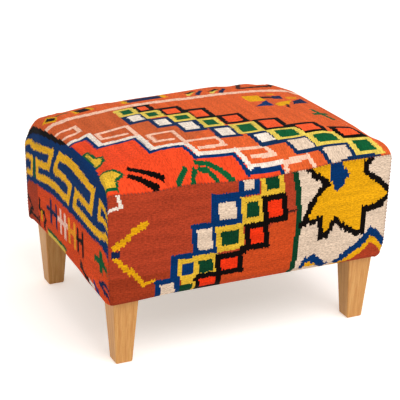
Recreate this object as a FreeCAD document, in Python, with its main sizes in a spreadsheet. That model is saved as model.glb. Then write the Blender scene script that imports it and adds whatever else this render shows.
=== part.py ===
import FreeCAD, Part
import os
import Sketcher
from FreeCAD import Placement, Rotation, Vector

# Kilim stool: a doweled beech frame on four tapered legs, webbed, padded and covered in flat-woven wool.
# Millimetres, +Z up, +X along the long side, -Y towards the front. The origin is on the floor, under the middle.
doc = FreeCAD.newDocument("kilim_stool")

# Driving dimensions
SIZES = {
    # Frame
    "frame_width": 564,
    "frame_depth": 440,
    "frame_height": 149,
    "floor_gap": 136,
    "post_size": 52,
    "foot_size": 34,
    "leg_edge_radius": 2.5,
    "foot_chamfer": 2,
    "rail_thickness": 22,
    "top_rail_height": 50,
    "bottom_rail_height": 45,
    # Glued and screwed joints
    "dowel_diameter": 8,
    "dowel_length": 40,
    "dowel_spacing": 24,
    "brace_thickness": 22,
    "brace_height": 38,
    "brace_drop": 6,
    "screw_diameter": 4,
    "screw_length": 26,
    "screw_head_diameter": 8,
    "screw_head_height": 3,
    "screw_seat_depth": 10,
    # Seat
    "webbing_width": 50,
    "webbing_thickness": 2.5,
    "webbing_end_margin": 4,
    "webbing_ramp_margin": 5,
    "webbing_tack_inset": 13,
    "hessian_thickness": 1,
    "hessian_margin": 6,
    "hessian_tack_inset": 4,
    "foam_edge_height": 47,
    "crown_middle": 55,
    "crown_end": 22,
    "shoulder_middle": 92,
    "shoulder_end": 33,
    "shoulder_slope": 62,
    "end_edge_radius": 19,
    "end_edge_slope": 25,
    # Skins
    "board_thickness": 2,
    "wadding_thickness": 13,
    "cover_thickness": 3,
    "hem_width": 20,
    "leg_cutout_gap": 0.5,
    "bottom_cloth_thickness": 0.8,
    "bottom_cloth_margin": 6,
    # Tacks and staples
    "tack_head_diameter": 6,
    "tack_head_height": 0.8,
    "tack_diameter": 1.6,
    "tack_length": 13,
    "staple_width": 10,
    "staple_wire": 0.7,
    "staple_length": 11,
    "cover_staple_inset": 4,
    "cloth_staple_inset": 4,
    # How far a cutting shape runs past the face that it cuts
    "cut_overrun": 5,
}

# Counts
LONG_STRAPS = 3
CROSS_STRAPS = 4
TACKS_PER_STRAP_END = 3
HESSIAN_TACKS_LONG = 8
HESSIAN_TACKS_SHORT = 6
BOARD_STAPLES_LONG = 5
BOARD_STAPLES_SHORT = 4
COVER_STAPLES_LONG = 10
COVER_STAPLES_SHORT = 7
CLOTH_STAPLES_LONG = 8
CLOTH_STAPLES_SHORT = 5

sheet = doc.addObject("Spreadsheet::Sheet", "Sizes")
for row, (name, value) in enumerate(SIZES.items(), start=1):
    sheet.set(f"A{row}", name)
    sheet.set(f"B{row}", str(value))
    sheet.setAlias(f"B{row}", name)
doc.recompute()


def size(name):
    """The expression that reads one driving dimension."""
    return f"Sizes.{name}"


def number(expression):
    """The value of an expression, in millimetres."""
    return float(sheet.evalExpression(expression))


# Places that several pieces share
HALF_WIDTH = f"({size('frame_width')} / 2)"
HALF_DEPTH = f"({size('frame_depth')} / 2)"
FRAME_BASE = f"({size('floor_gap')} + {size('cover_thickness')})"
FRAME_TOP = f"({FRAME_BASE} + {size('frame_height')})"
POST_X = f"({HALF_WIDTH} - {size('post_size')} / 2)"
POST_Y = f"({HALF_DEPTH} - {size('post_size')} / 2)"
RAIL_LINE_X = f"({HALF_WIDTH} - {size('rail_thickness')} / 2)"
RAIL_LINE_Y = f"({HALF_DEPTH} - {size('rail_thickness')} / 2)"
RAIL_REACH_X = f"({HALF_WIDTH} - {size('post_size')})"
RAIL_REACH_Y = f"({HALF_DEPTH} - {size('post_size')})"
TOP_RAIL_BASE = f"({FRAME_TOP} - {size('top_rail_height')})"
HESSIAN_BASE = f"({FRAME_TOP} + 2 * {size('webbing_thickness')})"
HESSIAN_X = f"({HALF_WIDTH} - {size('hessian_margin')})"
HESSIAN_Y = f"({HALF_DEPTH} - {size('hessian_margin')})"
FOAM_BASE = f"({HESSIAN_BASE} + {size('hessian_thickness')})"
FOAM_EDGE = f"({FOAM_BASE} + {size('foam_edge_height')})"
BOARD_X = f"({HALF_WIDTH} + {size('board_thickness')})"
BOARD_Y = f"({HALF_DEPTH} + {size('board_thickness')})"
WADDING_OFFSET = f"({size('board_thickness')} + {size('wadding_thickness')})"
WADDING_EDGE = f"({FOAM_EDGE} + {size('wadding_thickness')})"
COVER_OFFSET = f"({WADDING_OFFSET} + {size('cover_thickness')})"
COVER_EDGE = f"({WADDING_EDGE} + {size('cover_thickness')})"
HEM_X = f"({HALF_WIDTH} - {size('hem_width')})"
HEM_Y = f"({HALF_DEPTH} - {size('hem_width')})"
CLOTH_X = f"({HALF_WIDTH} - {size('bottom_cloth_margin')})"
CLOTH_Y = f"({HALF_DEPTH} - {size('bottom_cloth_margin')})"
CLOTH_BASE = f"({size('floor_gap')} - {size('bottom_cloth_thickness')})"
OVERRUN = size("cut_overrun")

# The four corners: name, sign of x, sign of y, and the quarter turns from the front left corner
CORNERS = [
    ("front_left", -1, -1, 0),
    ("front_right", 1, -1, 1),
    ("back_right", 1, 1, 2),
    ("back_left", -1, 1, 3),
]
# The four sides: name, which way it lies, and whether it runs along the width
SIDES = [("front", -1, True), ("back", 1, True), ("left", -1, False), ("right", 1, False)]
QUARTER_TURN = 90
UPRIGHT = Vector(0, 0, 1)
ACROSS = Vector(1, 0, 0)

pieces = []


def keep(piece, label):
    """Name a finished sub-part and list it for export."""
    piece.Label = label
    pieces.append(piece)
    return piece


def bind(item, **expressions):
    """Bind properties of an object to expressions. A double underscore stands for a dot."""
    for name, expression in expressions.items():
        item.setExpression(name.replace("__", "."), expression)
    return item


def block(name, corner, extent):
    """A box from its lowest corner and its extent, both as three expressions."""
    box = doc.addObject("Part::Box", name)
    bind(box, Length=extent[0], Width=extent[1], Height=extent[2])
    bind(box, Placement__Base__x=corner[0], Placement__Base__y=corner[1], Placement__Base__z=corner[2])
    return box


def rod(name, diameter, length, start="0"):
    """A round rod along +Z from a height above the origin."""
    cylinder = doc.addObject("Part::Cylinder", name)
    return bind(cylinder, Radius=f"{diameter} / 2", Height=length, Placement__Base__z=start)


def cut(name, base, *tools):
    """A piece with tools cut from it. The tools stay clear of each other."""
    joined = doc.addObject("Part::Compound", f"{name}_tools")
    joined.Links = list(tools)
    result = doc.addObject("Part::Cut", name)
    result.Base = base
    result.Tool = joined
    return result


def fuse(name, *shapes):
    """Several shapes as one solid."""
    result = doc.addObject("Part::MultiFuse", name)
    result.Shapes = list(shapes)
    return result


def copies(name, pattern, places):
    """Copies of one solid at many places, as one group of separate solids."""
    doc.recompute()
    feature = doc.addObject("Part::Feature", name)
    feature.Shape = Part.makeCompound([pattern.Shape.transformed(place.toMatrix()) for place in places])
    return feature


def plane(body, role):
    """One of a body's own origin planes."""
    return next(item for item in body.Origin.OriginFeatures if item.Role == role)


def sketch_on(body, name, role, height):
    """An empty sketch at a height above one of a body's origin planes."""
    sketch = body.newObject("Sketcher::SketchObject", name)
    sketch.AttachmentSupport = [(plane(body, role), "")]
    sketch.MapMode = "FlatFace"
    sketch.setExpression("AttachmentOffset.Base.z", height)
    return sketch


def fix_point(sketch, item, point, across, along):
    """Hold a point of a sketch at two expressions from the sketch's origin."""
    for kind, expression in (("DistanceX", across), ("DistanceY", along)):
        index = sketch.addConstraint(Sketcher.Constraint(kind, -1, 1, item, point, number(expression)))
        sketch.setExpression(f"Constraints[{index}]", expression)


def outline(body, name, points, height="0"):
    """A closed sketch through points, each given as two expressions, level with the floor."""
    sketch = sketch_on(body, name, "XY_Plane", height)
    spots = [Vector(number(across), number(along), 0) for across, along in points]
    for here, there in zip(spots, spots[1:] + spots[:1]):
        sketch.addGeometry(Part.LineSegment(here, there))
    for line in range(len(spots)):
        sketch.addConstraint(Sketcher.Constraint("Coincident", line, 2, (line + 1) % len(spots), 1))
    for line, (across, along) in enumerate(points):
        fix_point(sketch, line, 1, across, along)
    return sketch


def rectangle(body, name, half_x, half_y, height="0"):
    """A rectangular sketch about the body's own upright axis."""
    points = [(f"-{half_x}", f"-{half_y}"), (half_x, f"-{half_y}"), (half_x, half_y), (f"-{half_x}", half_y)]
    return outline(body, name, points, height)


def edges_where(feature, test):
    """Names of the edges of a feature that pass a test."""
    return [f"Edge{index}" for index, edge in enumerate(feature.Shape.Edges, start=1) if test(edge)]


def stand_at_corner(item, side_x, side_y, turns, height="0"):
    """Place a piece at a post's middle and turn it to face into the frame."""
    item.Placement = Placement(Vector(), Rotation(UPRIGHT, QUARTER_TURN * turns))
    return bind(
        item,
        Placement__Base__x=f"{side_x} * {POST_X}",
        Placement__Base__y=f"{side_y} * {POST_Y}",
        Placement__Base__z=height,
    )


def spread(start, end, count):
    """Evenly spaced values, each in the middle of its share of the run."""
    step = (end - start) / count
    return [start + step / 2 + step * index for index in range(count)]


def ring_places(half_x, half_y, count_x, count_y, level):
    """Places over the rails on all four sides, clear of the dowels, each turned to run along its side."""
    clear = number(size("dowel_length")) / 2
    reach_x = number(RAIL_REACH_X) - clear
    reach_y = number(RAIL_REACH_Y) - clear
    along_depth = Rotation(UPRIGHT, QUARTER_TURN)
    places = []
    for side in (-1, 1):
        for along in spread(-reach_x, reach_x, count_x):
            places.append(Placement(Vector(along, side * number(half_y), number(level)), Rotation()))
        for along in spread(-reach_y, reach_y, count_y):
            places.append(Placement(Vector(side * number(half_x), along, number(level)), along_depth))
    return places


# Dowels: two across each joint between a rail and a post, half in each
dowel = rod("dowel_pattern", size("dowel_diameter"), size("dowel_length"), f"-{size('dowel_length')} / 2")


def dowel_places(base, height):
    middle = number(f"{base} + {height} / 2")
    reach = number(size("dowel_spacing")) / 2
    along_width = Rotation(UPRIGHT, ACROSS)
    along_depth = Rotation(UPRIGHT, Vector(0, 1, 0))
    places = []
    for name, side_x, side_y, turns in CORNERS:
        for level in (middle - reach, middle + reach):
            spot = Vector(side_x * number(RAIL_REACH_X), side_y * number(RAIL_LINE_Y), level)
            places.append(Placement(spot, along_width))
            spot = Vector(side_x * number(RAIL_LINE_X), side_y * number(RAIL_REACH_Y), level)
            places.append(Placement(spot, along_depth))
    return places


top_dowels = copies("top_dowels", dowel, dowel_places(TOP_RAIL_BASE, size("top_rail_height")))
keep(top_dowels, "top_rail_dowels")
bottom_dowels = copies("bottom_dowels", dowel, dowel_places(FRAME_BASE, size("bottom_rail_height")))
keep(bottom_dowels, "bottom_rail_dowels")

# Brace screws: a round head under a shank, two through each corner brace into the rails beside it
RAIL_INSIDE = f"({size('rail_thickness')} - {size('post_size')} / 2)"
BRACE_ACROSS = f"({size('brace_thickness')} * sqrt(2))"
BRACE_NEAR = f"({size('post_size')} - {RAIL_INSIDE})"
BRACE_FAR = f"({BRACE_NEAR} + {BRACE_ACROSS})"
BRACE_BASE = f"({FRAME_TOP} - {size('brace_drop')} - {size('brace_height')})"
HEAD_HEIGHT = size("screw_head_height")
screw_shank = rod("screw_shank", size("screw_diameter"), size("screw_length"))
screw_head = rod("screw_head", size("screw_head_diameter"), HEAD_HEIGHT, f"-{HEAD_HEIGHT}")
screw = fuse("screw_pattern", screw_shank, screw_head)
bore = rod("screw_bore", size("screw_head_diameter"), BRACE_ACROSS, f"-{BRACE_ACROSS}")


def screw_places():
    """Each screw's head seat and direction, from the middle of the post at its corner."""
    along = number(f"{BRACE_NEAR} + {BRACE_ACROSS} / 2")
    seat = number(f"{RAIL_INSIDE} + {size('screw_seat_depth')}")
    level = number(f"{BRACE_BASE} + {size('brace_height')} / 2")
    into_front = Placement(Vector(along, seat, 0), Rotation(UPRIGHT, Vector(0, -1, 0)))
    into_side = Placement(Vector(seat, along, 0), Rotation(UPRIGHT, Vector(-1, 0, 0)))
    places = []
    for name, side_x, side_y, turns in CORNERS:
        spot = Vector(side_x * number(POST_X), side_y * number(POST_Y), level)
        corner = Placement(spot, Rotation(UPRIGHT, QUARTER_TURN * turns))
        places += [corner * into_front, corner * into_side]
    return places


screws = keep(copies("screws", screw, screw_places()), "brace_screws")
screw_bores = copies("screw_bores", bore, screw_places())

# Tacks: a flat head on a short shank, pointing down, with the origin under the head
tack_shank = rod("tack_shank", size("tack_diameter"), size("tack_length"), f"-{size('tack_length')}")
tack_head = rod("tack_head", size("tack_head_diameter"), size("tack_head_height"))
tack = fuse("tack_pattern", tack_shank, tack_head)


def strap_lines(half_span, count):
    """The middle lines of the webbing straps, evenly spaced between the rails."""
    inside = number(f"{half_span} - {size('rail_thickness')}")
    return spread(-inside, inside, count)


long_lines = strap_lines(HALF_DEPTH, LONG_STRAPS)
cross_lines = strap_lines(HALF_WIDTH, CROSS_STRAPS)


def strap_tack_places():
    """A row of tacks across both ends of every strap."""
    half = number(size("webbing_width")) / 2
    level = number(f"{FRAME_TOP} + {size('webbing_thickness')}")
    inset = f"({size('webbing_end_margin')} + {size('webbing_tack_inset')})"
    reach_x = number(f"{HALF_WIDTH} - {inset}")
    reach_y = number(f"{HALF_DEPTH} - {inset}")
    places = []
    for side in (-1, 1):
        for line in long_lines:
            for along in spread(line - half, line + half, TACKS_PER_STRAP_END):
                places.append(Placement(Vector(side * reach_x, along, level), Rotation()))
        for line in cross_lines:
            for along in spread(line - half, line + half, TACKS_PER_STRAP_END):
                places.append(Placement(Vector(along, side * reach_y, level), Rotation()))
    return places


webbing_tacks = keep(copies("strap_tacks", tack, strap_tack_places()), "webbing_tacks")
hessian_ring = ring_places(
    f"{HESSIAN_X} - {size('hessian_tack_inset')}",
    f"{HESSIAN_Y} - {size('hessian_tack_inset')}",
    HESSIAN_TACKS_LONG,
    HESSIAN_TACKS_SHORT,
    f"{FOAM_BASE} - {size('tack_head_height')}",
)
hessian_tacks = keep(copies("cloth_tacks", tack, hessian_ring), "hessian_tacks")

# Staples: a wire crown with two legs, pointing up, sunk flush into what they hold
WIRE = size("staple_wire")
STAPLE_HALF = f"({size('staple_width')} / 2)"
staple_crown = block(
    "staple_crown", (f"-{STAPLE_HALF}", f"-{WIRE} / 2", "0"), (size("staple_width"), WIRE, WIRE))
staple_legs = [
    block(f"staple_leg_{side}", (start, f"-{WIRE} / 2", "0"), (WIRE, WIRE, size("staple_length")))
    for side, start in (("left", f"-{STAPLE_HALF}"), ("right", f"{STAPLE_HALF} - {WIRE}"))
]
staple = fuse("staple_pattern", staple_crown, *staple_legs)

cover_ring = ring_places(
    f"{HEM_X} + {size('cover_staple_inset')}",
    f"{HEM_Y} + {size('cover_staple_inset')}",
    COVER_STAPLES_LONG,
    COVER_STAPLES_SHORT,
    size("floor_gap"),
)
cover_staples = keep(copies("hem_staples", staple, cover_ring), "cover_staples")
cloth_ring = ring_places(
    f"{CLOTH_X} - {size('cloth_staple_inset')}",
    f"{CLOTH_Y} - {size('cloth_staple_inset')}",
    CLOTH_STAPLES_LONG,
    CLOTH_STAPLES_SHORT,
    CLOTH_BASE,
)
cloth_staples = keep(copies("cloth_staples", staple, cloth_ring), "bottom_cloth_staples")


def board_staple_places():
    """Staples through the side boards into the middle of each rail."""
    levels = [
        f"{FRAME_BASE} + {size('bottom_rail_height')} / 2",
        f"{TOP_RAIL_BASE} + {size('top_rail_height')} / 2",
    ]
    reach_x = number(RAIL_REACH_X) - number(size("dowel_length")) / 2
    reach_y = number(RAIL_REACH_Y) - number(size("dowel_length")) / 2
    places = []
    for side in (-1, 1):
        into_depth = Rotation(ACROSS, side * QUARTER_TURN)
        into_width = Rotation(UPRIGHT, QUARTER_TURN) * Rotation(ACROSS, -side * QUARTER_TURN)
        for level in levels:
            for along in spread(-reach_x, reach_x, BOARD_STAPLES_LONG):
                spot = Vector(along, side * number(BOARD_Y), number(level))
                places.append(Placement(spot, into_depth))
            for along in spread(-reach_y, reach_y, BOARD_STAPLES_SHORT):
                spot = Vector(side * number(BOARD_X), along, number(level))
                places.append(Placement(spot, into_width))
    return places


board_staples = keep(copies("board_staples", staple, board_staple_places()), "side_board_staples")


# Legs: a tapered foot below the cover and a square post inside the frame, in one length of beech
def leg(name, side_x, side_y, turns):
    body = doc.addObject("PartDesign::Body", f"leg_body_{name}")
    half_foot = f"{size('foot_size')} / 2"
    half_post = f"{size('post_size')} / 2"
    foot = body.newObject("PartDesign::Pad", f"foot_{name}")
    foot.Profile = rectangle(body, f"foot_square_{name}", half_foot, half_foot)
    bind(foot, Length=size("floor_gap"))
    doc.recompute()
    faces = enumerate(foot.Shape.Faces, start=1)
    taper = body.newObject("PartDesign::Draft", f"taper_{name}")
    taper.Base = (foot, [f"Face{index}" for index, face in faces if not face.normalAt(0, 0).z])
    taper.NeutralPlane = (plane(body, "XY_Plane"), [""])
    taper.Reversed = True
    bind(taper, Angle=f"atan(({half_post} - {half_foot}) / {size('floor_gap')})")
    doc.recompute()
    half_height = number(size("floor_gap")) / 2
    eased = body.newObject("PartDesign::Fillet", f"eased_{name}")
    eased.Base = (taper, edges_where(taper, lambda edge: edge.BoundBox.ZLength > half_height))
    bind(eased, Radius=size("leg_edge_radius"))
    doc.recompute()
    heights = [face.CenterOfMass.z for face in eased.Shape.Faces]
    sole = body.newObject("PartDesign::Chamfer", f"sole_{name}")
    sole.Base = (eased, [f"Face{heights.index(min(heights)) + 1}"])
    bind(sole, Size=size("foot_chamfer"))
    post = body.newObject("PartDesign::Pad", f"post_{name}")
    post.Profile = rectangle(body, f"post_square_{name}", half_post, half_post, size("floor_gap"))
    bind(post, Length=f"{FRAME_TOP} - {size('floor_gap')}")
    body.Tip = post
    return stand_at_corner(body, side_x, side_y, turns)


for name, side_x, side_y, turns in CORNERS:
    drilled = cut(f"leg_cut_{name}", leg(name, side_x, side_y, turns), top_dowels, bottom_dowels)
    keep(drilled, f"leg_{name}")


# Corner braces: short beech bars across each corner, behind the post, screwed to both top rails
def brace(name, side_x, side_y, turns):
    body = doc.addObject("PartDesign::Body", f"brace_body_{name}")
    points = [
        (BRACE_NEAR, RAIL_INSIDE),
        (BRACE_FAR, RAIL_INSIDE),
        (RAIL_INSIDE, BRACE_FAR),
        (RAIL_INSIDE, BRACE_NEAR),
    ]
    pad = body.newObject("PartDesign::Pad", f"brace_pad_{name}")
    pad.Profile = outline(body, f"brace_outline_{name}", points)
    bind(pad, Length=size("brace_height"))
    return stand_at_corner(body, side_x, side_y, turns, BRACE_BASE)


for name, side_x, side_y, turns in CORNERS:
    bored = cut(f"brace_bored_{name}", brace(name, side_x, side_y, turns), screw_bores)
    keep(cut(f"brace_cut_{name}", bored, screws), f"corner_brace_{name}")


# Rails: four at the top and four at the bottom, flush with the outside of the posts
def rail(label, side, lengthways, base, height):
    thickness = size("rail_thickness")
    reach = RAIL_REACH_X if lengthways else RAIL_REACH_Y
    outside = HALF_DEPTH if lengthways else HALF_WIDTH
    inset = f"-{outside}" if side < 0 else f"{outside} - {thickness}"
    if lengthways:
        return block(label, (f"-{reach}", inset, base), (f"2 * {reach}", thickness, height))
    return block(label, (inset, f"-{reach}", base), (thickness, f"2 * {reach}", height))


for name, side, lengthways in SIDES:
    bar = rail(f"top_bar_{name}", side, lengthways, TOP_RAIL_BASE, size("top_rail_height"))
    holes = (top_dowels, screws, webbing_tacks, hessian_tacks, board_staples)
    keep(cut(f"top_bar_cut_{name}", bar, *holes), f"top_rail_{name}")
    bar = rail(f"bottom_bar_{name}", side, lengthways, FRAME_BASE, size("bottom_rail_height"))
    holes = (bottom_dowels, board_staples, cover_staples, cloth_staples)
    keep(cut(f"bottom_bar_cut_{name}", bar, *holes), f"bottom_rail_{name}")

# Side boards: hardboard over the rails and posts, the left and right ones lapping the others' edges
for name, side, lengthways in SIDES:
    thickness = size("board_thickness")
    if lengthways:
        inset = f"-{BOARD_Y}" if side < 0 else HALF_DEPTH
        corner = (f"-{HALF_WIDTH}", inset, FRAME_BASE)
        extent = (f"2 * {HALF_WIDTH}", thickness, size("frame_height"))
    else:
        inset = f"-{BOARD_X}" if side < 0 else HALF_WIDTH
        corner = (inset, f"-{BOARD_Y}", FRAME_BASE)
        extent = (thickness, f"2 * {BOARD_Y}", size("frame_height"))
    board = block(f"board_{name}", corner, extent)
    keep(cut(f"board_cut_{name}", board, board_staples), f"side_board_{name}")


# Webbing: jute straps over and under each other, each end flat on a rail
def strap(label, line, half_span, crossings, raised, lengthways):
    """A strap that rises over a crossing where raised says so, and lies at rail height elsewhere."""
    thickness = number(size("webbing_thickness"))
    half_width = number(size("webbing_width")) / 2
    flat = half_width + number(size("webbing_ramp_margin"))
    end = number(f"{half_span} - {size('webbing_end_margin')}")
    low = number(FRAME_TOP)
    path = [(-end, low)]
    for spot, up in zip(crossings, raised):
        level = low + thickness if up else low
        path += [(spot - flat, level), (spot + flat, level)]
    path.append((end, low))
    edge = path + [(along, level + thickness) for along, level in reversed(path)]
    if lengthways:
        corners = [Vector(along, line - half_width, level) for along, level in edge]
        sweep = Vector(0, 2 * half_width, 0)
    else:
        corners = [Vector(line - half_width, along, level) for along, level in edge]
        sweep = Vector(2 * half_width, 0, 0)
    band = doc.addObject("Part::Feature", f"{label}_band")
    band.Shape = Part.Face(Part.makePolygon(corners + corners[:1])).extrude(sweep)
    keep(cut(f"{label}_cut", band, webbing_tacks, hessian_tacks), label)


for row, line in enumerate(long_lines):
    raised = [(row + column) % 2 == 0 for column in range(CROSS_STRAPS)]
    strap(f"webbing_long_{row + 1}", line, HALF_WIDTH, cross_lines, raised, True)
for column, line in enumerate(cross_lines):
    raised = [(row + column) % 2 == 1 for row in range(LONG_STRAPS)]
    strap(f"webbing_cross_{column + 1}", line, HALF_DEPTH, long_lines, raised, False)

# Hessian: a flat cloth over the webbing, tacked through to the rails
hessian_cloth = block(
    "hessian_cloth",
    (f"-{HESSIAN_X}", f"-{HESSIAN_Y}", HESSIAN_BASE),
    (f"2 * {HESSIAN_X}", f"2 * {HESSIAN_Y}", size("hessian_thickness")),
)
keep(cut("hessian_cut", hessian_cloth, hessian_tacks), "hessian")


# Crowned block: straight sides up to a seam line, a crown above it, and left and right edges that are
# rounded at mid-depth and run out to a sharp corner at each end of the seam line
def arch(body, name, place, half_y, edge, rise, shoulder):
    """The crown's section across the depth, at one place along the width.

    A chord at the seam line, a shoulder arc that rises from each end of it, and a flatter arc between them.
    """
    slope = size("shoulder_slope")
    centre = f"({half_y} - {shoulder} * sin({slope}))"
    reach = f"({rise} + {shoulder} * cos({slope}))"
    crown = f"(({centre}^2 + {reach}^2 - {shoulder}^2) / (2 * ({reach} - {shoulder})))"
    share = f"({crown} / ({crown} - {shoulder}))"
    joint = f"({centre} * {share})"
    joint_height = f"({edge} + {rise} - {crown} + ({crown} - {reach}) * {share})"
    sketch = sketch_on(body, name, "YZ_Plane", place)
    front = Vector(-number(half_y), number(edge), 0)
    back = Vector(number(half_y), number(edge), 0)
    front_joint = Vector(-number(joint), number(joint_height), 0)
    back_joint = Vector(number(joint), number(joint_height), 0)
    peak = Vector(0, number(f"{edge} + {rise}"), 0)

    def shoulder_middle(side):
        """The point halfway along the shoulder arc on the front (-1) or back (1) side."""
        start = Vector(side * number(half_y), number(edge), 0)
        end = Vector(side * number(joint), number(joint_height), 0)
        hub = Vector(side * number(centre), number(f"{edge} + {rise} - {reach}"), 0)
        outward = ((start + end) * 0.5 - hub).normalize()
        return hub + outward * number(shoulder)

    chord = sketch.addGeometry(Part.LineSegment(front, back))
    back_arc = sketch.addGeometry(Part.Arc(back, shoulder_middle(1), back_joint))
    top_arc = sketch.addGeometry(Part.Arc(back_joint, peak, front_joint))
    front_arc = sketch.addGeometry(Part.Arc(front_joint, shoulder_middle(-1), front))
    top = sketch.addGeometry(Part.Point(peak), True)
    sketch.addConstraint(Sketcher.Constraint("Coincident", chord, 2, back_arc, 1))
    sketch.addConstraint(Sketcher.Constraint("Tangent", back_arc, 2, top_arc, 1))
    sketch.addConstraint(Sketcher.Constraint("Tangent", top_arc, 2, front_arc, 1))
    sketch.addConstraint(Sketcher.Constraint("Coincident", front_arc, 2, chord, 1))
    sketch.addConstraint(Sketcher.Constraint("PointOnObject", top, 1, top_arc))
    fix_point(sketch, chord, 1, f"-{half_y}", edge)
    fix_point(sketch, chord, 2, half_y, edge)
    fix_point(sketch, top_arc, 1, joint, joint_height)
    fix_point(sketch, top_arc, 2, f"-{joint}", joint_height)
    sketch.addConstraint(Sketcher.Constraint("PointOnObject", top, 1, -2))
    height = sketch.addConstraint(Sketcher.Constraint("DistanceY", -1, 1, top, 1, peak.y))
    sketch.setExpression(f"Constraints[{height}]", f"{edge} + {rise}")
    return sketch


def edge_cut(body, name, half_x, edge):
    """The outline, seen from the front, of what comes off over the left and right edges."""
    radius = size("end_edge_radius")
    slope = size("end_edge_slope")
    turn_x = f"({half_x} - {radius} + {radius} * sin({slope}))"
    turn_z = f"({edge} + {radius} * cos({slope}))"
    top = f"({edge} + {size('crown_middle')} + {OVERRUN})"
    inner_x = f"({turn_x} - ({top} - {turn_z}) / tan({slope}))"
    outer_x = f"({half_x} + {OVERRUN})"
    sketch = sketch_on(body, name, "XZ_Plane", "0")
    for side in (-1, 1):
        corners = [(turn_x, turn_z), (inner_x, top), (outer_x, top), (outer_x, edge), (half_x, edge)]
        places = [(f"{side} * {across}", height) for across, height in corners]
        spots = [Vector(number(across), number(height), 0) for across, height in places]
        hub = Vector(side * number(f"{half_x} - {radius}"), number(edge), 0)
        outward = ((spots[0] + spots[-1]) * 0.5 - hub).normalize()
        halfway = hub + outward * number(radius)
        lines = [sketch.addGeometry(Part.LineSegment(here, there)) for here, there in zip(spots, spots[1:])]
        ends = (spots[-1], spots[0]) if side > 0 else (spots[0], spots[-1])
        arc = sketch.addGeometry(Part.Arc(ends[0], halfway, ends[1]))
        for line in lines[1:]:
            sketch.addConstraint(Sketcher.Constraint("Coincident", line - 1, 2, line, 1))
        for line, (across, height) in zip(lines, places):
            fix_point(sketch, line, 1, across, height)
        fix_point(sketch, lines[-1], 2, *places[-1])
        low, high = (1, 2) if side > 0 else (2, 1)
        sketch.addConstraint(Sketcher.Constraint("Coincident", arc, low, lines[-1], 2))
        sketch.addConstraint(Sketcher.Constraint("Coincident", arc, high, lines[0], 1))
        bend = sketch.addConstraint(Sketcher.Constraint("Radius", arc, number(radius)))
        sketch.setExpression(f"Constraints[{bend}]", radius)
    return sketch


def crowned_block(name, offset, base, edge):
    half_x = f"({HALF_WIDTH} + {offset})"
    half_y = f"({HALF_DEPTH} + {offset})"
    body = doc.addObject("PartDesign::Body", name)
    sides = body.newObject("PartDesign::Pad", f"{name}_sides")
    sides.Profile = rectangle(body, f"{name}_plan", half_x, half_y, base)
    bind(sides, Length=f"{edge} - {base}")
    crown = body.newObject("PartDesign::AdditiveLoft", f"{name}_crown")
    end_form = (half_y, edge, size("crown_end"), size("shoulder_end"))
    middle_form = (half_y, edge, size("crown_middle"), size("shoulder_middle"))
    crown.Profile = arch(body, f"{name}_left_arch", f"-{half_x}", *end_form)
    crown.Sections = [
        arch(body, f"{name}_middle_arch", "0", *middle_form),
        arch(body, f"{name}_right_arch", half_x, *end_form),
    ]
    rounded = body.newObject("PartDesign::Pocket", f"{name}_rounded")
    rounded.Profile = edge_cut(body, f"{name}_edges", half_x, edge)
    rounded.Type = "ThroughAll"
    rounded.Midplane = True
    body.Tip = rounded
    return body


foam_form = crowned_block("foam_form", size("board_thickness"), FRAME_BASE, FOAM_EDGE)
wadding_form = crowned_block("wadding_form", WADDING_OFFSET, FRAME_BASE, WADDING_EDGE)
cover_form = crowned_block("cover_form", COVER_OFFSET, size("floor_gap"), COVER_EDGE)

# Foam: the crowned top of the padding, on the hessian
below_foam = block(
    "below_foam",
    (f"-{BOARD_X} - {OVERRUN}", f"-{BOARD_Y} - {OVERRUN}", f"{FRAME_BASE} - {OVERRUN}"),
    (
        f"2 * ({BOARD_X} + {OVERRUN})",
        f"2 * ({BOARD_Y} + {OVERRUN})",
        f"{FOAM_BASE} - {FRAME_BASE} + {OVERRUN}",
    ),
)
keep(cut("foam_cut", foam_form, below_foam), "seat_foam")

# Wadding: one soft layer over the foam and down the boards
keep(cut("wadding_cut", wadding_form, foam_form), "wadding")

# Kilim cover: a thin skin over the wadding, turned under the frame, open in the middle and at the legs
CUTOUT = f"({size('post_size')} + 2 * {size('leg_cutout_gap')})"


def leg_cutouts(name, base, thickness):
    """Square openings round the four legs, in a layer under the frame."""
    holes = []
    for corner, side_x, side_y, turns in CORNERS:
        place = (
            f"{side_x} * {POST_X} - {CUTOUT} / 2",
            f"{side_y} * {POST_Y} - {CUTOUT} / 2",
            f"{base} - {OVERRUN}",
        )
        holes.append(block(f"{name}_{corner}", place, (CUTOUT, CUTOUT, f"{thickness} + 2 * {OVERRUN}")))
    return holes


hem_opening = block(
    "hem_opening",
    (f"-{HEM_X}", f"-{HEM_Y}", f"{size('floor_gap')} - {OVERRUN}"),
    (f"2 * {HEM_X}", f"2 * {HEM_Y}", f"{size('cover_thickness')} + 2 * {OVERRUN}"),
)
skin_cutouts = leg_cutouts("skin_cutout", size("floor_gap"), size("cover_thickness"))
shell = cut("cover_shell", cover_form, wadding_form)
skin = cut("cover_skin", cut("cover_hemmed", shell, hem_opening), *skin_cutouts)

SKIN_X = f"({HALF_WIDTH} + {COVER_OFFSET})"
SKIN_Y = f"({HALF_DEPTH} + {COVER_OFFSET})"


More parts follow.
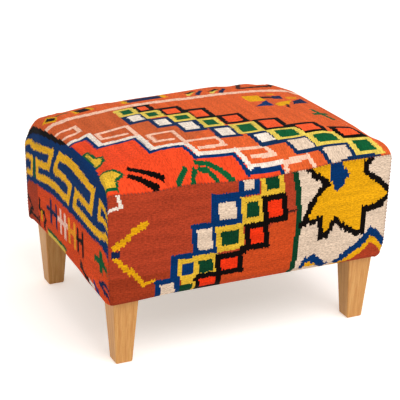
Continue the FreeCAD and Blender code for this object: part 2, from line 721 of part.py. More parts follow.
def panel_space(name, side):
    """The room that a front (-1) or back (1) panel takes: its upright skin and its own hem."""
    thickness = size("cover_thickness")
    below = f"{size('floor_gap')} - {OVERRUN}"
    wall_start = f"-{SKIN_Y} - {OVERRUN}" if side < 0 else f"{SKIN_Y} - {thickness}"
    wall_height = f"{COVER_EDGE} - {size('floor_gap')} + {size('crown_middle')} + 2 * {OVERRUN}"
    wall = block(
        f"{name}_wall",
        (f"-{SKIN_X} - {OVERRUN}", wall_start, below),
        (f"2 * ({SKIN_X} + {OVERRUN})", f"{thickness} + {OVERRUN}", wall_height),
    )
    hem_half = f"({POST_X} + {CUTOUT} / 2)"
    hem_start = f"-{SKIN_Y} - {OVERRUN}" if side < 0 else HEM_Y
    hem = block(
        f"{name}_hem",
        (f"-{hem_half}", hem_start, below),
        (f"2 * {hem_half}", f"{SKIN_Y} - {HEM_Y} + {OVERRUN}", f"{thickness} + {OVERRUN}"),
    )
    return fuse(f"{name}_space", wall, hem)


front_space = panel_space("front_panel", -1)
back_space = panel_space("back_panel", 1)
for name, space in (("front", front_space), ("back", back_space)):
    panel = doc.addObject("Part::Common", f"cover_{name}")
    panel.Base = skin
    panel.Tool = space
    keep(cut(f"cover_{name}_cut", panel, cover_staples, cloth_staples), f"cover_{name}_panel")
strip = cut("cover_strip", skin, front_space, back_space)
keep(cut("cover_strip_cut", strip, cover_staples, cloth_staples), "cover_top_and_ends")

# Bottom cloth: a thin black cloth under the hems, cut round the legs
cloth = block(
    "bottom_cloth_sheet",
    (f"-{CLOTH_X}", f"-{CLOTH_Y}", CLOTH_BASE),
    (f"2 * {CLOTH_X}", f"2 * {CLOTH_Y}", size("bottom_cloth_thickness")),
)
cloth_cutouts = leg_cutouts("cloth_cutout", CLOTH_BASE, size("bottom_cloth_thickness"))
notched = cut("bottom_cloth_notched", cloth, *cloth_cutouts)
keep(cut("bottom_cloth_cut", notched, cloth_staples), "bottom_cloth")

# Check every object, then write each sub-part
doc.recompute()
failed = [item.Name for item in doc.Objects if "Invalid" in item.State or "Error" in item.State]
for piece in pieces:
    if piece.Shape.isNull() or not piece.Shape.isValid() or not piece.Shape.Solids:
        failed.append(piece.Label)
if failed:
    raise RuntimeError("failed: " + ", ".join(failed))

os.makedirs("parts", exist_ok=True)
for piece in pieces:
    piece.Shape.exportStep(f"parts/{piece.Label}.step")
print(len(pieces), "sub-parts written")
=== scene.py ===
import math

import bpy
import numpy as np
from mathutils import Matrix, Vector


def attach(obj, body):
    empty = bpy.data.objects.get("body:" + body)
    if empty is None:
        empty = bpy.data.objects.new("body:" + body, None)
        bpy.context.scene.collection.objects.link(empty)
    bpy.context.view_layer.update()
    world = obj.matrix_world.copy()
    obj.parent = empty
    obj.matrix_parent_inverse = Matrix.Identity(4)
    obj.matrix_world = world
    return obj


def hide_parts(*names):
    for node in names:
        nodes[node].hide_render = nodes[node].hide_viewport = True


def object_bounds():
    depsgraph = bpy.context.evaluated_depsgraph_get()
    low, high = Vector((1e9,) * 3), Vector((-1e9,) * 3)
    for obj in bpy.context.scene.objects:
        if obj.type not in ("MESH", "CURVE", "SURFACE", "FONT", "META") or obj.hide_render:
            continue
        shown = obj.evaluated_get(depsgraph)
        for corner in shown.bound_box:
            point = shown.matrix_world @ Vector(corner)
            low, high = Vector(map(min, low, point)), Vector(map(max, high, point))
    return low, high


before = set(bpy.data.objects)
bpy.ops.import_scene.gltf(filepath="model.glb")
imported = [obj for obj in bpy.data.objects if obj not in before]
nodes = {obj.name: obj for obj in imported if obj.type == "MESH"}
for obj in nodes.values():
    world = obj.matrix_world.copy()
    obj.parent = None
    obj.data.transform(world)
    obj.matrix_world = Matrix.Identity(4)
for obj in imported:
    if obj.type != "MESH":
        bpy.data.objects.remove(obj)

cad_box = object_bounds()
BODY = "root"
MM = 0.001


# Legs and rails
# Steamed beech, planed, sanded and given a thin matt lacquer. Each leg tapers below the cover and runs up
# inside it as a square post, and the rails are dowelled and glued between the posts.
def linear(hex_colour):
    """An sRGB hex colour as the linear colour that a shader takes."""
    parts = [int(hex_colour[k : k + 2], 16) / 255 for k in (1, 3, 5)]
    return [c / 12.92 if c <= 0.04045 else ((c + 0.055) / 1.055) ** 2.4 for c in parts] + [1.0]


def add_node(tree, kind, inputs=None, ramp=(), **settings):
    """Adds a node with its settings and links.

    An input is given a value, an output to link to, or a node whose first output is linked. ramp holds the
    stops of a colour ramp, each a place and a hex colour.
    """
    node = tree.nodes.new(kind)
    for name, value in settings.items():
        setattr(node, name, value)
    for k, (place, colour) in enumerate(ramp):
        node.color_ramp.elements[k].position = place
        node.color_ramp.elements[k].color = linear(colour)
    for place, source in (inputs or {}).items():
        if isinstance(source, bpy.types.Node):
            source = source.outputs[0]
        if isinstance(source, bpy.types.NodeSocket):
            tree.links.new(source, node.inputs[place])
        else:
            node.inputs[place].default_value = source
    return node


def empty_material(name):
    """A material with no nodes yet, and its node tree."""
    material = bpy.data.materials.new(name)
    material.use_nodes = True
    material.node_tree.nodes.clear()
    return material, material.node_tree


def beech(name, turn):
    """Beech with its grain along the axis that turn brings upright: soft bands, streaks and ray flecks."""
    material, tree = empty_material(name)
    place = add_node(tree, "ShaderNodeTexCoord")
    upright = add_node(tree, "ShaderNodeMapping", {"Vector": place.outputs["Object"], "Rotation": turn})
    # Growth bands about 6 mm wide that wander along the grain
    long_way = add_node(tree, "ShaderNodeMapping", {"Vector": upright, "Scale": (1, 1, 0.08)})
    bands = add_node(
        tree,
        "ShaderNodeTexWave",
        {"Vector": long_way, "Scale": 46, "Distortion": 5, "Detail": 3, "Detail Scale": 1.4},
        bands_direction="DIAGONAL",
    )
    # Streaks about 3 mm wide and 100 mm long
    streak_way = add_node(tree, "ShaderNodeMapping", {"Vector": upright, "Scale": (330, 330, 9)})
    streaks = add_node(tree, "ShaderNodeTexNoise", {"Vector": streak_way, "Scale": 1, "Detail": 4})
    # Ray flecks about 0.7 mm wide and 4 mm long, drawn a little coarser than real ones so that they show
    fleck_way = add_node(tree, "ShaderNodeMapping", {"Vector": upright, "Scale": (1300, 1300, 240)})
    flecks = add_node(tree, "ShaderNodeTexNoise", {"Vector": fleck_way, "Scale": 1, "Detail": 1})
    wood = add_node(
        tree, "ShaderNodeValToRGB", {"Fac": streaks}, ramp=((0.3, "#C98842"), (0.72, "#DDA460"))
    )
    banded = add_node(
        tree,
        "ShaderNodeMix",
        {"Factor": 0.12, "A": wood, "B": bands.outputs["Color"]},
        data_type="RGBA",
        blend_type="SOFT_LIGHT",
    )
    fleck_mask = add_node(tree, "ShaderNodeMapRange", {0: flecks, 1: 0.62, 2: 0.72, 3: 0.0, 4: 0.25})
    flecked = add_node(
        tree,
        "ShaderNodeMix",
        {"Factor": fleck_mask, "A": banded.outputs["Result"], "B": linear("#8A5526")},
        data_type="RGBA",
    )
    rough = add_node(tree, "ShaderNodeMapRange", {0: streaks, 3: 0.38, 4: 0.55})
    relief = add_node(tree, "ShaderNodeBump", {"Height": streaks, "Strength": 0.15, "Distance": 0.0004})
    shader = add_node(
        tree,
        "ShaderNodeBsdfPrincipled",
        {
            "Base Color": flecked.outputs["Result"],
            "Roughness": rough,
            "Normal": relief,
            "IOR": 1.5,
            "Specular IOR Level": 0.35,
        },
    )
    add_node(tree, "ShaderNodeOutputMaterial", {"Surface": shader})
    return material


def finish_node(name, material):
    """Gives every material slot of a CAD node the same finish."""
    for place in nodes[name].material_slots:
        place.material = material


QUARTER = math.pi / 2
beech_upright = beech("beech_grain_upright", (0, 0, 0))
beech_wide = beech("beech_grain_left_to_right", (0, QUARTER, 0))
beech_deep = beech("beech_grain_front_to_back", (QUARTER, 0, 0))
SIDES = ("front", "back", "left", "right")
CORNERS = ("front_left", "front_right", "back_right", "back_left")
for corner in CORNERS:
    finish_node(f"leg_{corner}", beech_upright)
for side in SIDES:
    for row in ("top", "bottom"):
        finish_node(f"{row}_rail_{side}", beech_wide if side in ("front", "back") else beech_deep)


# Dowels and corner braces
# Beech dowel rod and offcuts of rail stock sawn to a triangle, glued into the frame's corners. The braces
# are also screwed, two countersunk screws to each.
for group in ("top_rail_dowels", "bottom_rail_dowels"):
    finish_node(group, beech_wide)
for corner in CORNERS:
    finish_node(f"corner_brace_{corner}", beech_wide)


# Screws, tacks and staples
# Steel wire and tack steel with a thin zinc plating, driven flush into the wood. The plating gives a
# bright, slightly cloudy grey.
plated_steel, tree = empty_material("zinc_plated_steel")
place = add_node(tree, "ShaderNodeTexCoord")
# Clouding of the plating in spots of about 2 mm
cloud = add_node(
    tree, "ShaderNodeTexNoise", {"Vector": place.outputs["Object"], "Scale": 500, "Detail": 3}
)
grey = add_node(tree, "ShaderNodeValToRGB", {"Fac": cloud}, ramp=((0.0, "#8C9096"), (1.0, "#C6C9CC")))
rough = add_node(tree, "ShaderNodeMapRange", {0: cloud, 3: 0.28, 4: 0.48})
shader = add_node(
    tree, "ShaderNodeBsdfPrincipled", {"Base Color": grey, "Roughness": rough, "Metallic": 1.0}
)
add_node(tree, "ShaderNodeOutputMaterial", {"Surface": shader})
FASTENERS = (
    "brace_screws",
    "side_board_staples",
    "webbing_tacks",
    "hessian_tacks",
    "cover_staples",
    "bottom_cloth_staples",
)
for group in FASTENERS:
    finish_node(group, plated_steel)


# Side boards
# Thin hardboard stapled round the frame, so that the padded sides stay flat between the rails. Pressed wood
# fibre gives it a dull, even brown with fine dark fibres.
hardboard, tree = empty_material("pressed_hardboard")
place = add_node(tree, "ShaderNodeTexCoord")
# Fibres about 1 mm wide, in clouds of about 30 mm
fibre = add_node(
    tree, "ShaderNodeTexNoise", {"Vector": place.outputs["Object"], "Scale": 900, "Detail": 2}
)
patches = add_node(
    tree, "ShaderNodeTexNoise", {"Vector": place.outputs["Object"], "Scale": 33, "Detail": 2}
)
both = add_node(tree, "ShaderNodeMath", {0: fibre, 1: patches}, operation="ADD")
half = add_node(tree, "ShaderNodeMath", {0: both, 1: 0.5}, operation="MULTIPLY")
brown = add_node(tree, "ShaderNodeValToRGB", {"Fac": half}, ramp=((0.3, "#5C4026"), (0.7, "#8A6540")))
relief = add_node(tree, "ShaderNodeBump", {"Height": fibre, "Strength": 0.3, "Distance": 0.0003})
shader = add_node(
    tree, "ShaderNodeBsdfPrincipled", {"Base Color": brown, "Roughness": 0.72, "Normal": relief}
)
add_node(tree, "ShaderNodeOutputMaterial", {"Surface": shader})
for side in SIDES:
    finish_node(f"side_board_{side}", hardboard)


# Webbing
# Jute straps 50 mm wide, stretched over the top rails, woven over and under each other and tacked at both
# ends. Each has a pair of dark stripes near its edges.
def linked(name, data):
    """A new object with its data, linked into the scene."""
    thing = bpy.data.objects.new(name, data)
    bpy.context.collection.objects.link(thing)
    return thing


def smooth_piece(name, points, polygons, material):
    """A smooth-shaded piece from points in mm and the faces between them."""
    mesh = bpy.data.meshes.new(name)
    mesh.from_pydata((points * MM).tolist(), [], polygons)
    mesh.materials.append(material)
    mesh.polygons.foreach_set("use_smooth", [True] * len(mesh.polygons))
    mesh.update()
    return linked(name, mesh)


def grid_quads(index):
    """The quads between the points of a grid, from the points' numbers."""
    around = [index[:-1, :-1], index[:-1, 1:], index[1:, 1:], index[1:, :-1]]
    return np.stack(around, axis=-1).reshape(-1, 4)


def shell(name, face, lining, steps, material, uv, flip=False):
    """A closed thin cloth in mm: a fine face, a coarser lining under it, and the rim between them.

    face and lining are grids of points, and uv is the face's own places in mm. steps says how many lines of
    the face go to one of the lining, each way.
    """
    rows, columns = face.shape[:2]
    low_rows, low_columns = lining.shape[:2]
    upper = np.arange(rows * columns).reshape(rows, columns)
    lower = rows * columns + np.arange(low_rows * low_columns).reshape(low_rows, low_columns)
    rim = []
    row_step, column_step = steps
    for k in range(low_columns - 1):
        span = slice(k * column_step, (k + 1) * column_step + 1)
        rim.append(upper[0, span][::-1].tolist() + [lower[0, k], lower[0, k + 1]])
        rim.append(upper[-1, span].tolist() + [lower[-1, k + 1], lower[-1, k]])
    for k in range(low_rows - 1):
        span = slice(k * row_step, (k + 1) * row_step + 1)
        rim.append(upper[span, 0].tolist() + [lower[k + 1, 0], lower[k, 0]])
        rim.append(upper[span, -1][::-1].tolist() + [lower[k, -1], lower[k + 1, -1]])
    polygons = grid_quads(upper).tolist() + grid_quads(lower)[:, [0, 3, 2, 1]].tolist() + rim
    if flip:
        polygons = [polygon[::-1] for polygon in polygons]
    points = np.concatenate([face.reshape(-1, 3), lining.reshape(-1, 3)])
    piece = smooth_piece(name, points, polygons, material)
    places = np.concatenate([uv.reshape(-1, 2), uv[::row_step, ::column_step].reshape(-1, 2)]) * MM
    corner = np.empty(len(piece.data.loops), dtype=np.int32)
    piece.data.loops.foreach_get("vertex_index", corner)
    layer = piece.data.uv_layers.new(name="cloth")
    layer.uv.foreach_set("vector", places[corner].astype(np.float32).ravel())
    return piece


def ease(place, start=0, stop=1):
    """A smooth step from 0 at start to 1 at stop."""
    share = np.clip((place - start) / (stop - start), 0, 1)
    return share * share * (3 - 2 * share)


STRAP_WIDTH = 50
STRAP_THICKNESS = 2.5
STRAP_PITCH = 6
STRAP_LINES = 11
JUTE_THREAD = 0.8
STRIPE_AT, STRIPE_HALF = 15.5, 1.5
CROSSING_HALF, CROSSING_EASE = 30, 35
STRAP_CLEARANCE = 0.05
RAIL_TOP = 288
LONG_LINES = (-132, 0, 132)
CROSS_LINES = (-195, -65, 65, 195)
STRAP_END_X, STRAP_END_Y = 278, 216


def woven(tree, pitch):
    """A plain weave of threads a pitch apart in mm: its height, the cloth's place and the place's parts."""
    cloth_place = add_node(tree, "ShaderNodeUVMap", uv_map="cloth")
    apart = add_node(tree, "ShaderNodeSeparateXYZ", {0: cloth_place})
    waves = []
    for way in apart.outputs[:2]:
        turn = add_node(tree, "ShaderNodeMath", {0: way, 1: math.pi / (pitch * MM)}, operation="MULTIPLY")
        waves.append(add_node(tree, "ShaderNodeMath", {0: turn}, operation="SINE"))
    height = add_node(tree, "ShaderNodeMath", {0: waves[0], 1: waves[1]}, operation="MULTIPLY")
    return height, cloth_place, apart


jute, tree = empty_material("jute_webbing")
# Threads 0.8 mm wide both ways, and a dark stripe 3 mm wide 8 mm in from each edge
weave, cloth_place, apart = woven(tree, JUTE_THREAD)
from_middle = add_node(tree, "ShaderNodeMath", {0: apart.outputs[1]}, operation="ABSOLUTE")
stripe = add_node(
    tree, "ShaderNodeMath", {0: from_middle, 1: STRIPE_AT * MM, 2: STRIPE_HALF * MM}, operation="COMPARE"
)
fuzz = add_node(tree, "ShaderNodeTexNoise", {"Vector": cloth_place, "Scale": 900, "Detail": 3})
straw = add_node(tree, "ShaderNodeValToRGB", {"Fac": fuzz}, ramp=((0.3, "#8C6B3E"), (0.7, "#C2A066")))
striped = add_node(
    tree, "ShaderNodeMix", {"Factor": stripe, "A": straw, "B": linear("#4A2A1C")}, data_type="RGBA"
)
relief = add_node(tree, "ShaderNodeBump", {"Height": weave, "Strength": 0.5, "Distance": 0.0004})
shader = add_node(
    tree,
    "ShaderNodeBsdfPrincipled",
    {"Base Color": striped.outputs["Result"], "Roughness": 0.9, "Normal": relief},
)
add_node(tree, "ShaderNodeOutputMaterial", {"Surface": shader})


def strap(name, line, end, crossings, raised, lengthways):
    """One strap: level with the rails, and eased up over the straps that it crosses above."""
    along = np.linspace(-end, end, 2 * round(end / STRAP_PITCH) + 1)
    lift = np.zeros_like(along)
    for spot, up in zip(crossings, raised):
        if up:
            away = np.abs(along - spot)
            lift = np.maximum(lift, ease(away, CROSSING_HALF + CROSSING_EASE, CROSSING_HALF))
    across = np.linspace(-STRAP_WIDTH / 2, STRAP_WIDTH / 2, STRAP_LINES)
    run, side = np.meshgrid(along, across, indexing="ij")
    level = RAIL_TOP + STRAP_THICKNESS * np.repeat(lift[:, None], len(across), axis=1)
    top = np.stack([run, side + line, level + STRAP_THICKNESS - STRAP_CLEARANCE], axis=-1)
    base = np.stack([run, side + line, level + STRAP_CLEARANCE], axis=-1)
    if not lengthways:
        top = top[..., [1, 0, 2]]
        base = base[..., [1, 0, 2]]
    uv = np.stack([run, side], axis=-1)
    piece = shell(name + "_jute", top, base, (1, 1), jute, uv, flip=lengthways)
    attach(piece, BODY)
    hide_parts(name)


for row, line in enumerate(LONG_LINES):
    over = [(row + column) % 2 == 0 for column in range(len(CROSS_LINES))]
    strap(f"webbing_long_{row + 1}", line, STRAP_END_X, CROSS_LINES, over, True)
for column, line in enumerate(CROSS_LINES):
    over = [(row + column) % 2 == 1 for row in range(len(LONG_LINES))]
    strap(f"webbing_cross_{column + 1}", line, STRAP_END_Y, LONG_LINES, over, False)


# Hessian
# Open plain-woven jute cloth laid over the webbing and tacked round its edge. It keeps the foam from
# pressing through between the straps.
HESSIAN_X, HESSIAN_Y = 276, 214
HESSIAN_BASE, HESSIAN_TOP = 293.1, 293.9
HESSIAN_LINES_X, HESSIAN_LINES_Y = 57, 45
HESSIAN_PITCH = 2

burlap, tree = empty_material("plain_woven_hessian")
# Threads 2 mm apart both ways, with painted shade in the dips and gaps between them
weave = woven(tree, HESSIAN_PITCH)[0]
height = add_node(tree, "ShaderNodeMath", {0: weave}, operation="ABSOLUTE")
# Painted shade: the jute colour darkens where the weave's height falls, in the dips and gaps between
# threads
jute_and_painted_gap_shade = add_node(tree, "ShaderNodeValToRGB", {"Fac": height}, ramp=((0.0, "#6B5030"), (0.5, "#B4935E")))
relief = add_node(tree, "ShaderNodeBump", {"Height": height, "Strength": 0.6, "Distance": 0.0005})
shader = add_node(
    tree, "ShaderNodeBsdfPrincipled", {"Base Color": jute_and_painted_gap_shade, "Roughness": 0.92, "Normal": relief}
)
add_node(tree, "ShaderNodeOutputMaterial", {"Surface": shader})
across, deep = np.meshgrid(
    np.linspace(-HESSIAN_X, HESSIAN_X, HESSIAN_LINES_X),
    np.linspace(-HESSIAN_Y, HESSIAN_Y, HESSIAN_LINES_Y),
    indexing="ij",
)
upper = np.stack([across, deep, np.full_like(across, HESSIAN_TOP)], axis=-1)
lower = np.stack([across, deep, np.full_like(across, HESSIAN_BASE)], axis=-1)
hessian = shell("hessian_cloth", upper, lower, (1, 1), burlap, upper[..., :2], flip=True)
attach(hessian, BODY)
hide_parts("hessian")


# Seat foam
# A block of firm polyurethane foam cut to a crown, glued down on the hessian. Its skinless cut faces are
# pale and finely pored.
HALF_X, HALF_Y = (round(half / MM) for half in cad_box[1][:2])
HEM = 136
SEAM = 357
CROWN_MIDDLE, CROWN_LEFT, CROWN_RIGHT = 56, 18, 26
SHOULDER_MIDDLE, SHOULDER_LEFT, SHOULDER_RIGHT = 97, 24, 44
SHOULDER_SLOPE = math.radians(62)
SEAM_WAVE_AT = (-1, -0.72, -0.48, -0.1, 0.09, 0.35, 0.6, 1)
SEAM_WAVE = (4, -0.5, 2.5, -4, -6, -1.5, 4, 4)
EDGE_SOFT, EDGE_TIGHT, BACK_SOFT = 20, 4, 10
EDGE_SOFT_TO, BACK_SOFT_FROM = 148, 150
CREST_DIP, CREST_HUMP, CORNER_SAG = 7.5, 3, 4
SLACK_LEFT, SLACK_RIGHT = 10, 6
SLACK_IN_X, SLACK_IN_Y = 10, 7
DRAWN_IN = 3
LOW_EDGE = 45
PULL_UP_LONG, PULL_UP_END, END_DROOP = 4.5, 4.5, 4
TUCK_FRONT, TUCK_BACK = 4, 1
# Where in mm each change of the stuffed block starts and where it is whole, on each side that it fades to
TOP_SPAN, REAR_SPAN = (300, SEAM), (HALF_Y, 178)
DIP_LEFT, DIP_RIGHT, DIP_FRONT = (-290, -200), (125, -65), (115, 175)
HUMP_LEFT, HUMP_RIGHT, HUMP_FRONT = (130, 230), (290, 230), (90, 150)
SAG_LEFT, SAG_BACK, SAG_FRONT = (250, 295), (-110, -200), (-HALF_Y, -203)
SLACK_ASIDE, SLACK_FRONT = (170, HALF_X), (130, HALF_Y)
TUCK_ASIDE, TUCK_DEEP = (284, HALF_X), (222, HALF_Y)
DRAWN_ASIDE, DRAWN_DEEP = (283, HALF_X), (221, HALF_Y)
END_FACE, LONG_FACE = (282, 290), (220, 228)
LIFT_LEFT, LIFT_FRONT, LIFT_BACK = (-260, -100), (-90, 80), (236, 206)
DROOP_BACK, DROOP_FRONT = (-60, -120), (-228, -208)
RING_CORNER = 14
CORNER_STEPS, SIDE_STEPS = 8, 48
FOAM_BASE = 294
FOAM_INSET = 16.2
FOAM_LIFTS = (0.1, 10, 24, 40)
TOP_SHARES = (1.0, 0.985, 0.96, 0.92, 0.86, 0.78, 0.68, 0.56, 0.42, 0.28, 0.14, 0.04)


def crown_rise(x, y):
    """How far the padded top stands above the seam: a low arc, with tighter shoulders at front and back."""
    middle = 1 - np.minimum(np.abs(x) / HALF_X, 1) ** 2
    end_rise = np.where(x < 0, CROWN_LEFT, CROWN_RIGHT)
    rise = end_rise + (CROWN_MIDDLE - end_rise) * middle
    end_radius = np.where(x < 0, SHOULDER_LEFT, SHOULDER_RIGHT)
    radius = end_radius + (SHOULDER_MIDDLE - end_radius) * middle
    centre = HALF_Y - radius * math.sin(SHOULDER_SLOPE)
    reach = rise + radius * math.cos(SHOULDER_SLOPE)
    big = (centre**2 + reach**2 - radius**2) / (2 * (reach - radius))
    joint = centre * big / (big - radius)
    across = np.minimum(np.abs(y), HALF_Y)
    shoulder = np.sqrt(np.maximum(radius**2 - (across - centre) ** 2, 0))
    shoulder = shoulder - radius * math.cos(SHOULDER_SLOPE)
    arc = rise - big + np.sqrt(big**2 - across**2)
    return np.where(across > joint, shoulder, arc)


def seam_wave(x):
    """How far the hand-sewn front seam strays from level."""
    at = np.clip(x / HALF_X, -1, 1)
    wave = np.full_like(at, SEAM_WAVE[0], dtype=float)
    for k in range(len(SEAM_WAVE) - 1):
        step = SEAM_WAVE[k + 1] - SEAM_WAVE[k]
        wave = wave + step * ease(at, SEAM_WAVE_AT[k], SEAM_WAVE_AT[k + 1])
    return wave


def edge_radius(y):
    """The rounding of the top's end edges: soft in the middle, tight at the seams, softer at the back."""
    inside = ease(np.abs(y), HALF_Y, EDGE_SOFT_TO)
    return EDGE_TIGHT + (EDGE_SOFT - EDGE_TIGHT) * inside + BACK_SOFT * ease(y, BACK_SOFT_FROM, HALF_Y)


def soften(points):
    """Moves points of the plain padded block to where the stuffed one has them."""
    x, y, z = (points[..., k].astype(float) for k in range(3))
    wide, deep = np.abs(x), np.abs(y)
    # The top: a seam that strays, slack rear corners, a crest that dips at the left and swells at the right
    wave = seam_wave(x) * ease(y, HALF_Y, -HALF_Y) * np.clip((z - HEM) / (SEAM - HEM), 0, 1)
    top = ease(z, *TOP_SPAN)
    rear = ease(y, *REAR_SPAN) * top
    dip = CREST_DIP * ease(x, *DIP_LEFT) * ease(x, *DIP_RIGHT) * ease(y, *DIP_FRONT) * rear
    hump = CREST_HUMP * ease(x, *HUMP_LEFT) * ease(x, *HUMP_RIGHT) * ease(y, *HUMP_FRONT) * rear
    sag = CORNER_SAG * ease(x, *SAG_LEFT) * ease(y, *SAG_BACK) * ease(y, *SAG_FRONT) * top
    slack = ease(wide, *SLACK_ASIDE) * ease(y, *SLACK_FRONT) * top
    drop = np.where(x < 0, SLACK_LEFT, SLACK_RIGHT) * slack
    # The lower edge: drawn in, tucked at the corners, pulled up between the legs, hanging near the front
    low = ease(z, HEM + LOW_EDGE, HEM)
    drawn = DRAWN_IN * ease(z, SEAM, HEM)
    tuck = np.where(y < 0, TUCK_FRONT, TUCK_BACK) * ease(wide, *TUCK_ASIDE) * ease(deep, *TUCK_DEEP) * low
    long_lift = PULL_UP_LONG * ease(x, *LIFT_LEFT) * ease(deep, *LONG_FACE)
    end_lift = PULL_UP_END * ease(y, *LIFT_FRONT) * ease(y, *LIFT_BACK) * ease(wide, *END_FACE)
    droop = END_DROOP * ease(y, *DROOP_BACK) * ease(y, *DROOP_FRONT) * ease(wide, *END_FACE)
    inward_x = drawn * ease(wide, *DRAWN_ASIDE) + SLACK_IN_X * slack + tuck
    inward_y = drawn * ease(deep, *DRAWN_DEEP) + SLACK_IN_Y * slack + tuck
    lift = wave + hump - dip - sag - drop + (np.maximum(long_lift, end_lift) - droop) * low
    return np.stack([x - np.sign(x) * inward_x, y - np.sign(y) * inward_y, z + lift], axis=-1)


def ring(inset, level, share=1.0, corner_radius=RING_CORNER):
    """A closed loop round the block, inset from the cover's face. With no level, it lies on the top.

    share draws it in towards the middle.
    """
    half_x, half_y = HALF_X - inset, HALF_Y - inset
    arcs = []
    for turn, (side_x, side_y) in enumerate(((1, 1), (-1, 1), (-1, -1), (1, -1))):
        angle = QUARTER * (turn + np.linspace(0, 1, CORNER_STEPS + 1))
        arc_x = side_x * (half_x - corner_radius) + corner_radius * np.cos(angle)
        arc_y = side_y * (half_y - corner_radius) + corner_radius * np.sin(angle)
        arcs.append(np.column_stack([arc_x, arc_y]))
    loop = []
    for arc, after in zip(arcs, arcs[1:] + arcs[:1]):
        loop += [arc, np.linspace(arc[-1], after[0], SIDE_STEPS + 1)[1:-1]]
    flat = np.concatenate(loop) * share
    if level is None:
        x, y = flat[:, 0] * HALF_X / half_x, flat[:, 1] * HALF_Y / half_y
        radius = edge_radius(y)
        past = np.clip(np.abs(x) - HALF_X + radius, 0, radius)
        level = SEAM - inset + crown_rise(x, y) - radius + np.sqrt(radius**2 - past**2)
    return np.column_stack([flat, np.broadcast_to(level, len(flat))])


def skin_of(name, rings, material):
    """A padded piece through rings of points, closed at its first ring and its last."""
    count = len(rings[0])
    last = (len(rings) - 1) * count
    faces = []
    for below in range(0, last, count):
        above = below + count
        for k in range(count):
            after = (k + 1) % count
            faces.append((below + k, below + after, above + after, above + k))
    faces.append(tuple(range(count))[::-1])
    faces.append(tuple(range(last, last + count)))
    return smooth_piece(name, soften(np.concatenate(rings)), faces, material)


cut_foam, tree = empty_material("cut_polyurethane_foam")
place = add_node(tree, "ShaderNodeTexCoord")
# Pores of about 0.8 mm, drawn at 1.5 mm so that they show, each with painted shade in its middle
pores = add_node(tree, "ShaderNodeTexVoronoi", {"Vector": place.outputs["Object"], "Scale": 670})
# Painted shade: the pale foam colour darkens into each pore, where the bump sinks it
pale = add_node(tree, "ShaderNodeValToRGB", {"Fac": pores}, ramp=((0.0, "#E4D8A8"), (0.6, "#F1E8C6")))
relief = add_node(tree, "ShaderNodeBump", {"Height": pores, "Strength": 0.4, "Distance": 0.0004})
shader = add_node(
    tree, "ShaderNodeBsdfPrincipled", {"Base Color": pale, "Roughness": 0.95, "Normal": relief}
)
add_node(tree, "ShaderNodeOutputMaterial", {"Surface": shader})

foam_rings = [ring(FOAM_INSET, FOAM_BASE + lift) for lift in FOAM_LIFTS]
foam_rings += [ring(FOAM_INSET, None, share) for share in TOP_SHARES]
foam = skin_of("seat_foam_block", foam_rings, cut_foam)
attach(foam, BODY)
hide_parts("seat_foam")


# Wadding
# Polyester fibre wadding, laid over the foam and down over the side boards. It takes the edges off the
# block and gives the cover its soft corners.
WADDING_OUTER, WADDING_INNER = 3.2, 15.9
WADDING_BASE = 139.2
WADDING_ROUND = 17
ROUND_LIFTS = (0, 2, 5, 9, 13, WADDING_ROUND)
OUTER_LEVELS = (190, 230, 270, 310, 335)
INNER_LIFTS, INNER_CORNER, INNER_TOP = (0, 60, 110, 150), 3, 330

fibre_fill, tree = empty_material("polyester_fibre_wadding")
place = add_node(tree, "ShaderNodeTexCoord")
# Tangled fibres in tufts of about 6 mm
tufts = add_node(
    tree, "ShaderNodeTexNoise", {"Vector": place.outputs["Object"], "Scale": 170, "Detail": 6}
)
white = add_node(tree, "ShaderNodeValToRGB", {"Fac": tufts}, ramp=((0.3, "#CFCFCB"), (0.65, "#F2F2EF")))
relief = add_node(tree, "ShaderNodeBump", {"Height": tufts, "Strength": 0.8, "Distance": 0.003})
shader = add_node(
    tree,
    "ShaderNodeBsdfPrincipled",
    {"Base Color": white, "Roughness": 1.0, "Normal": relief, "Sheen Weight": 0.3},
)
add_node(tree, "ShaderNodeOutputMaterial", {"Surface": shader})

outer = []
for lift in ROUND_LIFTS:
    rounding = WADDING_ROUND - math.sqrt(WADDING_ROUND**2 - (WADDING_ROUND - lift) ** 2)
    inset = min(WADDING_OUTER + rounding, WADDING_INNER - 1)
    outer.append(ring(inset, WADDING_BASE + lift))
outer += [ring(WADDING_OUTER, level) for level in OUTER_LEVELS]
outer += [ring(WADDING_OUTER, None, share) for share in TOP_SHARES]
inner = [ring(WADDING_INNER, WADDING_BASE + lift, corner_radius=INNER_CORNER) for lift in INNER_LIFTS]
inner += [ring(WADDING_INNER, INNER_TOP)]
inner += [ring(WADDING_INNER, None, share) for share in TOP_SHARES]
wadding = skin_of("wadding_wrap", inner[::-1] + outer, fibre_fill)
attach(wadding, BODY)
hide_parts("wadding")


# Kilim cloth
# A worn kilim cut up for the cover: hand-spun wool weft packed down over cotton warps, so that only the
# weft shows. Colours meet in steps from warp to warp, and level edges are toothed.
WOOLS = {
    "rust": "#DC5E2C",
    "deep_rust": "#AB3D22",
    "orange_rust": "#C6481C",
    "vermilion": "#DE4A1C",
    "flame": "#EC4821",
    "coral": "#F25729",
    "scarlet": "#EA330E",
    "indigo": "#002F62",
    "navy": "#122246",
    "gold": "#E4A20D",
    "saffron": "#F4B423",
    "straw": "#E2C454",
    "dusk": "#0C2B50",
    "maize": "#DDAF30",
    "clay": "#C85B2E",
    "brick": "#9C371B",
    "amber": "#DC861A",
    "marigold": "#F29824",
    "green": "#0B562E",
    "deep_green": "#073B22",
    "black": "#090302",
    "white": "#EBDBCB",
    "cream": "#DFC5AC",
    "peach": "#F3C1A6",
    "brown": "#43201A",
    "pink": "#FAC8B4",
}
WOOL_NAMES = list(WOOLS)
WOOL_COLOURS = np.array([linear(colour) for colour in WOOLS.values()])
WARP_PITCH, WEFT_PITCH = 4.5, 1.6

